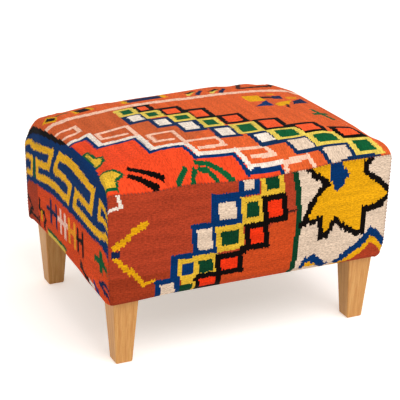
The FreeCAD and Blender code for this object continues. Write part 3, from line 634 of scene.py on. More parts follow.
kilim_wool, tree = empty_material("hand_spun_kilim_wool")
cloth_place = add_node(tree, "ShaderNodeUVMap", uv_map="cloth")
apart = add_node(tree, "ShaderNodeSeparateXYZ", {0: cloth_place})
dyed = add_node(tree, "ShaderNodeAttribute", attribute_name="wool")
# Heather: hand-spun yarn changes shade about every 6 mm along the weft and from thread to thread
heather_place = add_node(tree, "ShaderNodeMapping", {"Vector": cloth_place, "Scale": (170, 480, 1)})
heather = add_node(tree, "ShaderNodeTexNoise", {"Vector": heather_place, "Scale": 1, "Detail": 3})
heather_gain = add_node(tree, "ShaderNodeMapRange", {0: heather, 1: 0.35, 2: 0.65, 3: 0.75, 4: 1.25})
# Abrash: each dye lot runs along the weft in bands about 14 mm high and 100 mm long
lot_way = add_node(tree, "ShaderNodeMapping", {"Vector": cloth_place, "Scale": (10, 70, 1)})
lots = add_node(tree, "ShaderNodeTexNoise", {"Vector": lot_way, "Scale": 1, "Detail": 2})
lot_gain = add_node(tree, "ShaderNodeMapRange", {0: lots, 1: 0.3, 2: 0.7, 3: 0.86, 4: 1.14})
gain = add_node(tree, "ShaderNodeMath", {0: heather_gain, 1: lot_gain}, operation="MULTIPLY")
shaded = add_node(
    tree, "ShaderNodeVectorMath", {0: dyed.outputs["Color"], "Scale": gain}, operation="SCALE"
)
# Weave: a rib over each warp, crossed by weft threads of about 1 mm that go over every second warp, drawn
# 1.6 mm wide so that they show
along_weft, along_warp = apart.outputs[:2]
rib_turn = add_node(
    tree, "ShaderNodeMath", {0: along_weft, 1: math.pi / (WARP_PITCH * MM)}, operation="MULTIPLY"
)
rib_wave = add_node(tree, "ShaderNodeMath", {0: rib_turn}, operation="SINE")
rib = add_node(tree, "ShaderNodeMath", {0: rib_wave}, operation="ABSOLUTE")
rib_number = add_node(tree, "ShaderNodeMath", {0: along_weft, 1: WARP_PITCH * MM}, operation="DIVIDE")
rib_whole = add_node(tree, "ShaderNodeMath", {0: rib_number}, operation="FLOOR")
rib_shift = add_node(tree, "ShaderNodeMath", {0: rib_whole, 1: math.pi}, operation="MULTIPLY")
thread_turn = add_node(
    tree,
    "ShaderNodeMath",
    {0: along_warp, 1: math.pi / (WEFT_PITCH * MM), 2: rib_shift},
    operation="MULTIPLY_ADD",
)
thread = add_node(tree, "ShaderNodeMath", {0: thread_turn}, operation="SINE")
threads = add_node(tree, "ShaderNodeMath", {0: thread, 1: 0.35, 2: rib}, operation="MULTIPLY_ADD")
weave = add_node(tree, "ShaderNodeMath", {0: heather, 1: 0.9, 2: threads}, operation="MULTIPLY_ADD")
relief = add_node(tree, "ShaderNodeBump", {"Height": weave, "Strength": 0.55, "Distance": 0.0007})
shader = add_node(
    tree,
    "ShaderNodeBsdfPrincipled",
    {
        "Base Color": shaded,
        "Roughness": 0.92,
        "Normal": relief,
        "Specular IOR Level": 0.05,
        "Sheen Weight": 0.02,
        "Sheen Roughness": 0.5,
    },
)
add_node(tree, "ShaderNodeOutputMaterial", {"Surface": shader})


class Weaving:
    """Cloth on the loom: the number of each cell's wool, and the place in mm that each cell reads."""

    def __init__(self, cells, a, b):
        self.cells, self.a, self.b = cells, a, b

    def dye(self, wool, inside):
        """Weaves one colour into the cells that are inside a figure."""
        self.cells[inside] = WOOL_NAMES.index(wool)

    def block(self, wool, low_a, high_a, low_b, high_b, lean=0.0):
        """Weaves a rectangle. lean slants its upright sides about its middle."""
        a = self.a + lean * (self.b - (low_b + high_b) / 2)
        self.dye(wool, (a >= low_a) & (a <= high_a) & (self.b >= low_b) & (self.b <= high_b))

    def cheque(self, corners, edge, heart, border, lean=0.0):
        """Weaves a block with a border of another colour."""
        low_a, high_a, low_b, high_b = corners
        across, along = border
        self.block(edge, low_a - across, high_a + across, low_b - along, high_b + along, lean)
        self.block(heart, low_a, high_a, low_b, high_b, lean)

    def line(self, wool, width, *points):
        """Weaves a line of some width through points, with square ends."""
        half = width / 2
        for (a_from, b_from), (a_to, b_to) in zip(points, points[1:]):
            run_a, run_b = a_to - a_from, b_to - b_from
            length = math.hypot(run_a, run_b)
            along = ((self.a - a_from) * run_a + (self.b - b_from) * run_b) / length
            off = ((self.a - a_from) * run_b - (self.b - b_from) * run_a) / length
            self.dye(wool, (np.abs(off) <= half) & (along >= -half) & (along <= length + half))

    def shape(self, wool, *points):
        """Weaves a closed outline and all that is inside it."""
        inside = np.zeros(self.a.shape, dtype=bool)
        for (a_from, b_from), (a_to, b_to) in zip(points, points[1:] + points[:1]):
            if b_from != b_to:
                between = (b_from > self.b) != (b_to > self.b)
                side = a_from + (self.b - b_from) * (a_to - a_from) / (b_to - b_from)
                inside ^= between & (self.a < side)
        self.dye(wool, inside)


def plain_cloth(like, wool):
    """Cells of one wool, as many as a grid of places has."""
    return np.full(like.shape, WOOL_NAMES.index(wool))


STRAY_COUNT = 1024
ODD_STRAY, GROUP_STRAY = 0.6, 0.8
WARP_GROUP, GROUP_START = 4, 500


def toothed(warp_number, b, seed, tooth):
    """Where each warp reads the figure, so that the edges across the warps come out as teeth.

    Odd and even warps part, and each warp and each group of warps strays by a chance of its own.
    """
    strays = np.random.default_rng(seed).uniform(-1, 1, size=STRAY_COUNT)
    odd = np.where(warp_number % 2 == 0, 1.0, -1.0)
    group = strays[warp_number // WARP_GROUP + GROUP_START]
    return b + tooth * (ODD_STRAY * odd + strays[warp_number] + GROUP_STRAY * group)


# Cover, top and ends
# One length of the kilim over the top and down both ends, stretched over the wadding and stapled under the
# bottom rails. Its ends carry a border with a running key, and its top a stepped medallion and rows of
# cheques.
RED_CHEQUES = (
    (-114, -96, 50, 73), (-75, -45, 8, 36), (-29, 0, -32, 7), (20, 53, -75, -44), (79, 114, -131, -90),
    (140, 178, -167, -133), (218, 253, -188, -163),
)
GREEN_CHEQUES = (
    (-154, -131, 45, 71), (-114, -92, 6, 32), (-71, -42, -33, -10), (-27, -2, -80, -52),
    (25, 58, -133, -96), (85, 126, -173, -147), (155, 200, -203, -180), (230, 268, -229, -204),
)
WHITE_CHEQUES = (
    (-154, -128, -3, 31), (-116, -91, -51, -17), (-77, -47, -91, -50), (-24, 7, -140, -102),
    (42, 71, -177, -151), (101, 141, -210, -183), (161, 212, -238, -215),
)
STEPS = [
    (-298, -1), (-249, -3), (-249, -69), (-173, -74), (-173, -148), (-110, -154), (-96, -188),
    (-18, -188), (-4, -222),
]
LAST_STEP = [(-5, -221), (64, -223)]
CHEQUE_LEAN = 0.36
LEAN_GROWS, UNEVEN_GROWS = (-135, -175), (-60, -160)
HOOKS = (
    [(-300, 66), (-257, 58), (-257, 27), (-300, 30)],
    [(-173, -70), (-173, -15), (-236, -14), (-236, -43), (-187, -51)],
    [(-106, -152), (-106, -87), (-156, -86), (-156, -122), (-122, -127)],
    [(-100, -145), (-40, -142), (-33, -169), (-86, -173)],
    [(-8, -187), (43, -187), (54, -207), (10, -206)],
    [(68, -240), (71, -225), (121, -222), (128, -240)],
)
CLAY_GROUND = [(-304, 100), (-142, 100), (-142, 14), (-104, -34), (-40, -95), (-104, -160), (-304, -75)]
REAR_LINE = [(-300, 116), (-262, 105), (-190, 96), (0, 86), (110, 96), (200, 105), (300, 113)]
SMALL_LEAF = [
    (-287, -80), (-283, -80), (-283, -114), (-271, -122), (-274, -138), (-284, -146), (-290, -146),
    (-287, -118),
]
BROAD_LEAF = [
    (-306, -186), (-286, -186), (-272, -193), (-261, -204), (-276, -213), (-281, -228), (-306, -228),
]


def weave_top(x, y):
    """The colours of the top, by place in mm from its middle."""
    top = Weaving(plain_cloth(x, "rust"), x, y)
    top.shape("clay", *CLAY_GROUND)
    # Rear border: a pale line, and behind it framed dashes, slanting strokes and a lozenge
    top.line("peach", 15, *REAR_LINE)
    top.shape("gold", (-296, 146), (-274, 117), (-263, 140), (-279, 170))
    top.shape("black", (-289, 145), (-273, 125), (-268, 140), (-281, 160))
    top.line("green", 6, (-262, 147), (-238, 149))
    top.cheque((-221, -195, 121, 160), "gold", "black", (8, 0))
    top.cheque((-116, -40, 111, 142), "gold", "navy", (11, 0))
    for start in (16, 70):
        top.line("straw", 9, (start, 108), (start + 18, 128))
        top.line("black", 9, (start + 4, 121), (start + 20, 130))
        top.line("navy", 9, (start + 20, 106), (start + 38, 131))
    top.line("brown", 10, (142, 128), (222, 138), (264, 185), (178, 202), (142, 128))
    # Right rear corner
    top.block("gold", 118, 157, 26, 66)
    top.block("brown", 157, 184, 42, 58)
    top.shape("navy", (180, 38), (186, 61), (209, 64), (205, 38))
    top.shape("indigo", (157, 28), (157, -9), (116, -7))
    top.shape("gold", (162, -2), (180, 12), (219, 31), (195, -4), (168, -17))
    top.shape("amber", (213, 38), (217, 56), (251, 64), (239, 42))
    top.block("amber", 184, 200, 70, 82)
    top.shape("navy", (207, -2), (219, 24), (257, 52), (257, 19))
    top.line("brown", 7, (190, -6), (183, -23))
    top.line("green", 10, (228, -43), (243, -104))
    top.line("green", 11, (218, -72), (252, -66))
    # Stepped medallion with its hooks and leaves
    top.shape("flame", *STEPS, (62, -222), (62, -240), (-304, -240), (-304, 0))
    top.line("indigo", 9, *[(a - 9, b - 8.5) for a, b in STEPS])
    top.line("indigo", 9, (-13, -229), (56, -229), (60, -240))
    top.line("white", 11, *STEPS)
    top.line("white", 6.5, *LAST_STEP)
    for hook in HOOKS:
        top.line("peach", 8.5, *hook)
    for leaf in (SMALL_LEAF, BROAD_LEAF):
        top.line("green", 12, *leaf, leaf[0])
        top.shape("maize", *leaf)
    for points in ([(-238, -193), (-186, -223)], [(-244, -211), (-202, -234)]):
        top.line("black", 11, *points)
    greens = (
        [(-138, -218), (-157, -235)],
        [(-119, -221), (-128, -235)],
        [(-110, -208), (-87, -212), (-67, -223), (-47, -237)],
        [(-106, -220), (-93, -222), (-80, -235)],
    )
    for points in greens:
        top.line("green", 9.5, *points)
    # Rows of cheques from the left rear to the right front
    top.block("indigo", 214, 264, -240, -230)
    rows = (
        (WHITE_CHEQUES[:5], "dusk", "white", 10.5, 0),
        (WHITE_CHEQUES[5:], "dusk", "cream", 8.5, 1),
        (RED_CHEQUES, "black", "coral", 11, 1.5),
        (GREEN_CHEQUES, "straw", "green", 9.5, 3),
    )
    for cheques, edge, heart, border, change in rows:
        for corners in cheques:
            middle = (corners[2] + corners[3]) / 2
            lean = CHEQUE_LEAN * ease(middle, *LEAN_GROWS)
            uneven = change * ease(middle, *UNEVEN_GROWS)
            top.cheque(corners, edge, heart, (border + uneven, border - uneven), lean)
    top.shape("dusk", (166, -240), (214, -232), (275, -235), (275, -240))
    return top.cells


KEY = [
    (-240, 384), (-218, 400), (-201, 406), (-71, 395), (-84, 363), (-161, 371), (-176, 328), (-71, 317),
    (-38, 316), (16, 321), (37, 360), (-5, 356), (-51, 362), (-33, 398), (29, 393), (95, 398),
    (150, 408), (149, 377), (77, 366), (55, 327), (179, 349), (240, 350),
]
KEY_ENDS = (
    [(-240, 342), (-211, 339), (-203, 372), (-240, 363)],
    [(240, 380), (205, 384), (180, 379), (186, 414), (205, 419), (240, 414)],
)
BORDER_AT = (-238, -205, -160, -100, 0, 20, 60, 100, 140, 180, 238)
GUARD_TOP = (309, 305, 293, 290, 293, 293, 297, 299, 303, 307, 310)
BORDER_TOP = (309, 305, 293, 290, 293, 301, 306, 309, 314, 321, 330)
BORDER_BASE = (427, 425, 424, 420, 418, 418, 419, 423, 427, 432, 446)
DARK_FROM = 152


def weave_end(cells, v, run):
    """The colours of an end, by place across it and distance from the middle of the top."""
    end = Weaving(cells, v, run)
    end.dye("black", run >= np.interp(v, BORDER_AT, GUARD_TOP))
    end.dye("indigo", run >= np.interp(v, BORDER_AT, BORDER_TOP))
    below = run >= np.interp(v, BORDER_AT, BORDER_BASE)
    end.dye("vermilion", below)
    end.dye("deep_rust", below & (v > DARK_FROM))
    end.line("saffron", 12, *KEY[:3])
    end.line("saffron", 16, *KEY[2:])
    for points in KEY_ENDS:
        end.line("saffron", 12, *points)
    end.line("green", 12, (167, 380), (167, 410))
    # Pairs of uprights joined by a bar, below the border
    pairs = (
        (-111, -86, -110, -74, "black"),
        (-68, -37, -70, -16, "marigold"),
        (-13, 12, -24, 32, "pink"),
        (39, 70, 36, 93, "navy"),
    )
    for left, right, bar_from, bar_to, wool in pairs:
        end.line(wool, 11, (bar_from, 457), (bar_to, 457))
        for upright in (left, right):
            end.line(wool, 10, (upright, 438), (upright, 481))
    # Smaller figures near the hem
    end.line("green", 14, (-208, 444), (-208, 474))
    end.line("green", 13, (-226, 459), (-181, 459))
    end.line("black", 10, (142, 459), (145, 477), (115, 478), (107, 490), (124, 517))
    end.line("gold", 10, (130, 482), (130, 495))
    end.line("black", 9, (232, 468), (190, 495), (226, 516), (164, 510))
    end.line("black", 9, (150, 501), (156, 517))
    end.block("green", -15, 99, 504, 515)
    end.block("straw", 0, 108, 515, 530)
    end.line("black", 12, (-96, 512), (-114, 521), (-138, 526))
    end.line("white", 9, (-138, 522), (-157, 526))
    end.line("indigo", 11, (-165, 515), (-182, 531))
    end.line("navy", 9, (-236, 490), (-198, 505), (-214, 514), (-238, 508))
    end.block("brown", -110, -95, 498, 511)
    return end.cells


HEM_TURN_CORNER, HEM_TURN_MIDDLE = 8, 18
HEM_DEPTH, LEG_DEPTH = 38, 17.5
LEG_INSIDE = 70.5
MITRE_ROOM = 68
STRIP_REACH = 576
COVER_THICKNESS = 2.6
PRESS_CAP = 4.0
PRESS_FRAMES = 20


def hem_turn(share):
    """The radius of the turn under the rail, by share of the way from the middle to a corner."""
    return HEM_TURN_CORNER + (HEM_TURN_MIDDLE - HEM_TURN_CORNER) * (1 - np.clip(share, 0, 1) ** 2)


def hem_depth(along, half):
    """How far in the hem reaches: short beside the legs, deeper between them."""
    return np.where(np.abs(along) > half - LEG_INSIDE, LEG_DEPTH, HEM_DEPTH)


def mitred(along, half, depth):
    """Draws the ends of a hem in to the mitre at the corner."""
    past = np.abs(along) - (half - MITRE_ROOM)
    drawn = half - MITRE_ROOM + past * (MITRE_ROOM - depth) / MITRE_ROOM
    return np.where(past > 0, np.sign(along) * drawn, along)


def strip_point(u, v):
    """A point of the strip: u along it from the middle of the top, v across it."""
    side = np.where(u < 0, -1.0, 1.0)
    run = np.abs(u)
    radius = edge_radius(v)
    flat = HALF_X - radius
    angle = np.clip((run - flat) / radius, 0, QUARTER)
    x = np.where(run <= flat, run, flat + radius * np.sin(angle))
    z = SEAM + crown_rise(x, v) - radius * (1 - np.cos(angle))
    turn = hem_turn(np.abs(v) / HALF_Y)
    wall = SEAM + crown_rise(np.full_like(v, HALF_X), v) - radius - HEM - turn
    past = run - flat - radius * QUARTER
    z = z - np.clip(past, 0, wall)
    bend = np.clip((past - wall) / turn, 0, QUARTER)
    hem_start = flat + radius * QUARTER + wall + turn * QUARTER
    hem_share = np.clip((run - hem_start) / (STRIP_REACH - hem_start), 0, 1)
    depth = turn * (1 - np.cos(bend)) + hem_share * (hem_depth(v, HALF_Y) - turn)
    z = z - turn * np.sin(bend)
    y = mitred(v, HALF_Y, depth)
    return soften(np.stack([side * (x - depth), y, z], axis=-1))


def grid_normals(points):
    """Unit normals of a grid of points."""
    down = np.gradient(points, axis=0)
    over = np.gradient(points, axis=1)
    normal = np.cross(down, over)
    return normal / np.maximum(np.linalg.norm(normal, axis=-1, keepdims=True), 1e-9)


def swell(name, face, steps, pinned, order):
    """Lets the padding press the cover outwards between its seams: cloth under pressure, on a coarser grid.

    steps are the face's lines to one of the coarse grid, each way, and pinned are the coarse points that
    the seams and staples hold. order is 1 or -1, and turns the grid so that the pressure is outwards.
    """
    points = face[:: steps[0], :: steps[1]][::order]
    rows, columns = points.shape[:2]
    index = np.arange(rows * columns).reshape(rows, columns)
    mesh = bpy.data.meshes.new(name)
    mesh.from_pydata((points.reshape(-1, 3) * MM).tolist(), [], grid_quads(index).tolist())
    mesh.update()
    cloth_object = linked(name, mesh)
    held = cloth_object.vertex_groups.new(name="held")
    held.add(index[pinned[::order]].tolist(), 1.0, "REPLACE")
    press = cloth_object.modifiers.new("press", "CLOTH")
    press.settings.quality = 6
    press.settings.mass = 0.4
    press.settings.tension_stiffness = 30
    press.settings.compression_stiffness = 30
    press.settings.use_pressure = True
    press.settings.uniform_pressure_force = 4
    press.settings.vertex_group_mass = "held"
    press.settings.effector_weights.gravity = 0
    press.point_cache.frame_start = 1
    press.point_cache.frame_end = PRESS_FRAMES
    scene = bpy.context.scene
    for number in range(1, PRESS_FRAMES + 1):
        scene.frame_set(number)
    settled = cloth_object.evaluated_get(bpy.context.evaluated_depsgraph_get())
    places = np.empty(rows * columns * 3)
    settled.data.vertices.foreach_get("co", places)
    moves = places.reshape(rows, columns, 3) / MM - points
    bpy.data.objects.remove(cloth_object)
    bpy.data.meshes.remove(mesh)
    scene.frame_set(1)
    length = np.linalg.norm(moves, axis=-1, keepdims=True)
    moves = (moves * np.minimum(1, PRESS_CAP / np.maximum(length, 1e-9)))[::order]
    # Each line of the fine grid reads the coarse moves, first across and then down
    for axis in (1, 0):
        coarse = np.arange(moves.shape[axis])
        fine = np.linspace(0, coarse[-1], face.shape[axis])
        moves = np.apply_along_axis(lambda line: np.interp(fine, coarse, line), axis, moves)
    return face + moves


def cell_middles(rows, columns):
    """The middles of the cells between a grid's lines."""
    middles = [(lines[:-1] + lines[1:]) / 2 for lines in (rows, columns)]
    return np.meshgrid(*middles, indexing="ij")


def dress(piece, cells):
    """Writes each woven cell's colour onto its corners. The lining and rim are plain deep rust."""
    mesh = piece.data
    sides = np.empty(len(mesh.polygons), dtype=np.int32)
    mesh.polygons.foreach_get("loop_total", sides)
    colours = np.tile(WOOL_COLOURS[WOOL_NAMES.index("deep_rust")], (len(sides), 1))
    colours[: cells.size] = WOOL_COLOURS[cells.ravel()]
    layer = mesh.color_attributes.new(name="wool", type="FLOAT_COLOR", domain="CORNER")
    layer.data.foreach_set("color", np.repeat(colours, sides, axis=0).astype(np.float32).ravel())


STRIP_CELLS = 384
ACROSS_CELLS = 200
STRIP_PRESS, STRIP_LINING = (6, 5), (4, 5)
STRIP_HELD = 505
TOP_TOOTH, END_TOOTH = 0.7, 1.6
TOP_SEED, END_SEED = 3, 4
TEETH_GROW = (295, 345)
u_lines = np.linspace(-STRIP_REACH, STRIP_REACH, STRIP_CELLS + 1)
v_lines = np.linspace(-HALF_Y, HALF_Y, ACROSS_CELLS + 1)
u_grid, v_grid = np.meshgrid(u_lines, v_lines, indexing="ij")
strip_face = strip_point(u_grid, v_grid)
pinned = (np.abs(u_grid) > STRIP_HELD)[:: STRIP_PRESS[0], :: STRIP_PRESS[1]]
pinned[:, [0, -1]] = True
strip_face = swell("strip_press", strip_face, STRIP_PRESS, pinned, -1)
strip_inside = strip_face - COVER_THICKNESS * grid_normals(strip_face)
strip_lining = strip_inside[:: STRIP_LINING[0], :: STRIP_LINING[1]]
strip_uv = np.stack([v_grid, u_grid], axis=-1)
strip = shell("cover_strip_kilim", strip_face, strip_lining, STRIP_LINING, kilim_wool, strip_uv, flip=True)
u_cells, v_cells = cell_middles(u_lines, v_lines)
warps = np.arange(ACROSS_CELLS)
strip_cells = weave_top(toothed(warps, u_cells, TOP_SEED, TOP_TOOTH), v_cells)
end_stray = toothed(warps, u_cells, END_SEED, END_TOOTH) - u_cells
end_read = u_cells + end_stray * ease(np.abs(u_cells), *TEETH_GROW)
left_end = weave_end(strip_cells.copy(), v_cells, -end_read)
right_end = weave_end(strip_cells.copy(), -v_cells, end_read)
dress(strip, np.where(u_cells < 0, left_end, right_end))
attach(strip, BODY)
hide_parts("cover_top_and_ends")


# Cover, front and back panels
# Two more pieces of the same kilim, hand-sewn to the strip along the top edge and down the corners, then
# turned under and stapled. Each has cheques running down to one side and a toothed star on a cream ground.
FRONT_WHITE = ((-25, -3, 337, 362), (-77, -40, 282, 317), (-120, -89, 224, 267), (-192, -163, 120, 164))
FRONT_GREEN = ((22, 50, 331, 362), (-18, 8, 279, 311), (-70, -33, 227, 257), (-115, -85, 175, 202))
FRONT_RED = ((28, 58, 272, 307), (-8, 20, 221, 254), (-68, -33, 174, 198), (-112, -78, 139, 161))
FRONT_LEAN = 0.1
GREEN_STRIPE = [(84, 362), (92, 318), (95, 278), (95, 240), (94, 200), (92, 170), (86, 120)]
STAR_LEFT = [(112, 360), (129, 341), (146, 327), (157, 320), (146, 310), (132, 295), (120, 277), (109, 250)]
STAR_BASE = [(103, 244), (144, 247), (147, 208), (160, 213), (177, 239), (205, 215), (231, 202), (242, 204)]
STAR_RIGHT = [
    (243, 254), (270, 255), (304, 273), (304, 282), (272, 309), (243, 331), (244, 346), (258, 360),
]
BLUE_DROP = [(163, 362), (162, 328), (178, 296), (186, 302), (206, 329), (192, 345), (187, 362)]
RAGGED, TOOTH_WIDTH, RAGGED_SEED = 2.3, 5, 6
PEAK = [(190, 143), (220, 166), (237, 177), (263, 205), (275, 197), (304, 170)]
SMALL_PEAK = [(110, 142), (116, 158), (132, 167), (146, 156), (163, 142)]


def weave_panel(x, z):
    """The colours of a panel, by place along it and height above the floor."""
    panel = Weaving(plain_cloth(x, "deep_rust"), x, z)
    panel.block("brick", -304, -120, 100, 192)
    panel.shape("orange_rust", (60, 272), (96, 272), (96, 100), (-130, 100), (-60, 175), (0, 225))
    stripe_x, stripe_z = zip(*GREEN_STRIPE[::-1])
    panel.dye("cream", x > np.interp(z, stripe_z, stripe_x))
    panel.line("deep_green", 12, *GREEN_STRIPE)
    panel.line("brown", 4, (66, 277), (90, 277))
    # Rows of cheques running down to the left
    panel.block("indigo", -92, -25, 269, 335)
    panel.block("indigo", -173, -120, 176, 222)
    rows = (
        (FRONT_WHITE, "indigo", "cream", 11),
        (FRONT_GREEN, "maize", "deep_green", 11),
        (FRONT_RED, "black", "scarlet", 12),
    )
    for cheques, edge, heart, border in rows:
        for corners in cheques:
            panel.cheque(corners, edge, heart, (border, border + 1), FRONT_LEAN)
    panel.block("black", -30, -15, 203, 222)
    panel.block("black", -81, -68, 198, 212)
    panel.cheque((-151, -127, 176, 201), "maize", "indigo", (8, 10))
    panel.block("indigo", -173, -153, 165, 176)
    panel.block("maize", -150, -127, 154, 173)
    panel.block("maize", -127, -119, 120, 158)
    panel.block("deep_green", -153, -127, 120, 154)
    # Gold angle, blue dot and white corner mark on the left
    tooth_number = np.floor((x + HALF_X) / TOOTH_WIDTH).astype(int)
    jagged = Weaving(panel.cells, x, toothed(tooth_number, z, RAGGED_SEED, RAGGED))
    jagged.line("gold", 12, (-286, 253), (-227, 299))
    jagged.line("gold", 11, (-285, 232), (-229, 177))
    panel.line("gold", 6, (-232, 173), (-207, 176))
    panel.block("navy", -293, -277, 234, 247)
    panel.line("white", 7, (-280, 354), (-274, 335))
    panel.line("white", 6, (-297, 328), (-276, 333))
    # Toothed star with a blue drop, and the blue and gold peaks under it
    panel.shape("gold", *STAR_LEFT, *STAR_BASE[1:], *STAR_RIGHT)
    jagged.line("black", 12, *STAR_LEFT, *STAR_BASE, *STAR_RIGHT)
    panel.line("black", 14, (252, 251), (284, 257))
    jagged.shape("indigo", *BLUE_DROP)
    panel.shape("gold", *SMALL_PEAK)
    jagged.line("indigo", 11, *SMALL_PEAK)
    jagged.line("indigo", 17, (134, 161), (147, 150), (158, 138))
    panel.shape("deep_rust", *PEAK, (304, 100), (187, 100))
    jagged.line("gold", 18, *[(a, b - 15) for a, b in PEAK])
    jagged.line("indigo", 15, *[(a, b - 2) for a, b in PEAK])
    return panel.cells


PANEL_REACH = 260
PANEL_COLUMNS = 200
PANEL_ROWS = 168
PANEL_PRESS, PANEL_LINING = (4, 8), (2, 4)
PANEL_HELD = 195
PANEL_TOOTH, PANEL_SEED = 0.9, 5


def panel_point(x, down, side):
    """A point of a panel: x along it, down from its seam. side is -1 for the front and 1 for the back."""
    corner = EDGE_TIGHT + (BACK_SOFT if side > 0 else 0)
    past_flat = np.clip(np.abs(x) - (HALF_X - corner), 0, corner)
    seam = SEAM - corner + np.sqrt(corner**2 - past_flat**2)
    turn = hem_turn(np.abs(x) / HALF_X)
    wall = SEAM - HEM - turn
    z = HEM + turn + (wall - np.clip(down, 0, wall)) / wall * (seam - HEM - turn)
    bend = np.clip((down - wall) / turn, 0, QUARTER)
    hem_start = wall + turn * QUARTER
    hem_share = np.clip((down - hem_start) / (PANEL_REACH - hem_start), 0, 1)
    depth = turn * (1 - np.cos(bend)) + hem_share * (hem_depth(x, HALF_X) - turn)
    z = z - turn * np.sin(bend)
    y = side * (HALF_Y - depth)
    return soften(np.stack([mitred(x, HALF_X, depth), y, z], axis=-1))


def cover_panel(name, side):
    """One panel, its hem and its woven colours."""
    x_lines = np.linspace(-HALF_X, HALF_X, PANEL_COLUMNS + 1)
    down_lines = np.linspace(0, PANEL_REACH, PANEL_ROWS + 1)
    x_grid, down_grid = np.meshgrid(x_lines, down_lines, indexing="ij")
    face = panel_point(x_grid, down_grid, side)
    pinned = (down_grid > PANEL_HELD)[:: PANEL_PRESS[0], :: PANEL_PRESS[1]]
    pinned[[0, -1]] = True
    pinned[:, 0] = True
    face = swell(name + "_press", face, PANEL_PRESS, pinned, -side)
    inward = -side * grid_normals(face)
    lining = (face + COVER_THICKNESS * inward)[:: PANEL_LINING[0], :: PANEL_LINING[1]]
    uv = np.stack([x_grid, SEAM - down_grid], axis=-1)
    piece = shell(name + "_kilim", face, lining, PANEL_LINING, kilim_wool, uv, flip=side > 0)
    x_cells, down_cells = cell_middles(x_lines, down_lines)
    warps = np.arange(PANEL_COLUMNS)[:, None]
    z_read = toothed(warps, SEAM - down_cells, PANEL_SEED, PANEL_TOOTH)
    dress(piece, weave_panel(-side * x_cells, z_read))
    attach(piece, BODY)
    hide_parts(name)


cover_panel("cover_front_panel", -1)
cover_panel("cover_back_panel", 1)


# Seam stitches
# Waxed linen thread, sewn over and over by hand along the top seams and down the corners after the cover is
# pulled tight. Each stitch lies across the ridge of the seam.
STITCH_SIZES = {"Stitch pitch": 7, "Stitch length": 5, "Thread radius": 0.45}
THREAD_LIFT = 0.3
SEAM_SKIP, SEAM_STEP = 27, 3
CORNER_FROM, TOP_FROM = 290, 345
TOP_TILT = 0.7
STITCH_SLANT = 0.5

linen, tree = empty_material("waxed_linen_thread")
place = add_node(tree, "ShaderNodeTexCoord")
# Plies about 0.5 mm apart
plies = add_node(
    tree, "ShaderNodeTexNoise", {"Vector": place.outputs["Object"], "Scale": 1800, "Detail": 2}
)
dark = add_node(tree, "ShaderNodeValToRGB", {"Fac": plies}, ramp=((0.0, "#5A2014"), (1.0, "#94402A")))
shader = add_node(tree, "ShaderNodeBsdfPrincipled", {"Base Color": dark, "Roughness": 0.6})
add_node(tree, "ShaderNodeOutputMaterial", {"Surface": shader})

stitching = bpy.data.node_groups.new("overcast_stitches", "GeometryNodeTree")
stitching.interface.new_socket("Seam", in_out="INPUT", socket_type="NodeSocketGeometry")
size_inputs = {}
for size in STITCH_SIZES:
    socket = stitching.interface.new_socket(size, in_out="INPUT", socket_type="NodeSocketFloat")
    size_inputs[size] = socket.identifier
stitching.interface.new_socket("Stitches", in_out="OUTPUT", socket_type="NodeSocketGeometry")
given = add_node(stitching, "NodeGroupInput")
seam_curve = add_node(stitching, "GeometryNodeMeshToCurve", {"Mesh": given.outputs["Seam"]})
marks = add_node(
    stitching,
    "GeometryNodeResampleCurve",
    {"Curve": seam_curve, "Length": given.outputs["Stitch pitch"]},
    mode="LENGTH",
)
tangent = add_node(stitching, "GeometryNodeInputTangent")
facing = add_node(stitching, "GeometryNodeInputNamedAttribute", {"Name": "out"}, data_type="FLOAT_VECTOR")
across_seam = add_node(
    stitching, "ShaderNodeVectorMath", {0: tangent, 1: facing}, operation="CROSS_PRODUCT"
)
slant = add_node(
    stitching,
    "ShaderNodeVectorMath",
    {0: tangent, 1: [STITCH_SLANT] * 3, 2: across_seam},
    operation="MULTIPLY_ADD",
)
aim = add_node(stitching, "FunctionNodeAlignRotationToVector", {"Vector": slant}, axis="Z")
stitch = add_node(
    stitching,
    "GeometryNodeMeshCylinder",
    {
        "Vertices": 6,
        "Side Segments": 2,
        "Radius": given.outputs["Thread radius"],
        "Depth": given.outputs["Stitch length"],
    },
)
placed = add_node(
    stitching, "GeometryNodeInstanceOnPoints", {"Points": marks, "Instance": stitch, "Rotation": aim}
)
made_real = add_node(stitching, "GeometryNodeRealizeInstances", {0: placed})
waxed = add_node(stitching, "GeometryNodeSetMaterial", {"Geometry": made_real, "Material": linen})
add_node(stitching, "NodeGroupOutput", {0: waxed})

seam_points = []
seam_outs = []
seam_edges = []
for column, out in ((0, -1), (ACROSS_CELLS, 1)):
    line = strip_face[SEAM_SKIP:-SEAM_SKIP:SEAM_STEP, column]
    x, z = line[:, 0], line[:, 2]
    start = len(seam_points)
    sideways = np.sign(x) * (np.abs(x) > CORNER_FROM)
    outward = np.stack([sideways, np.full(len(line), out), TOP_TILT * (z > TOP_FROM)], axis=-1)
    outward /= np.linalg.norm(outward, axis=1, keepdims=True)
    seam_points += ((line + THREAD_LIFT * outward) * MM).tolist()
    seam_outs += outward.tolist()
    seam_edges += [(start + k, start + k + 1) for k in range(len(line) - 1)]
seam_mesh = bpy.data.meshes.new("seam_lines")
seam_mesh.from_pydata(seam_points, seam_edges, [])
seam_out = seam_mesh.attributes.new("out", "FLOAT_VECTOR", "POINT")
seam_out.data.foreach_set("vector", np.array(seam_outs, dtype=np.float32).ravel())
seam_lines = linked("seam_lines", seam_mesh)
sewing = seam_lines.modifiers.new("sewing", "NODES")
sewing.node_group = stitching
for size, identifier in size_inputs.items():
    sewing[identifier] = STITCH_SIZES[size] * MM
evaluated = seam_lines.evaluated_get(bpy.context.evaluated_depsgraph_get())
stitch_mesh = bpy.data.meshes.new_from_object(evaluated)
seam_lines.modifiers.clear()
bpy.data.objects.remove(seam_lines)
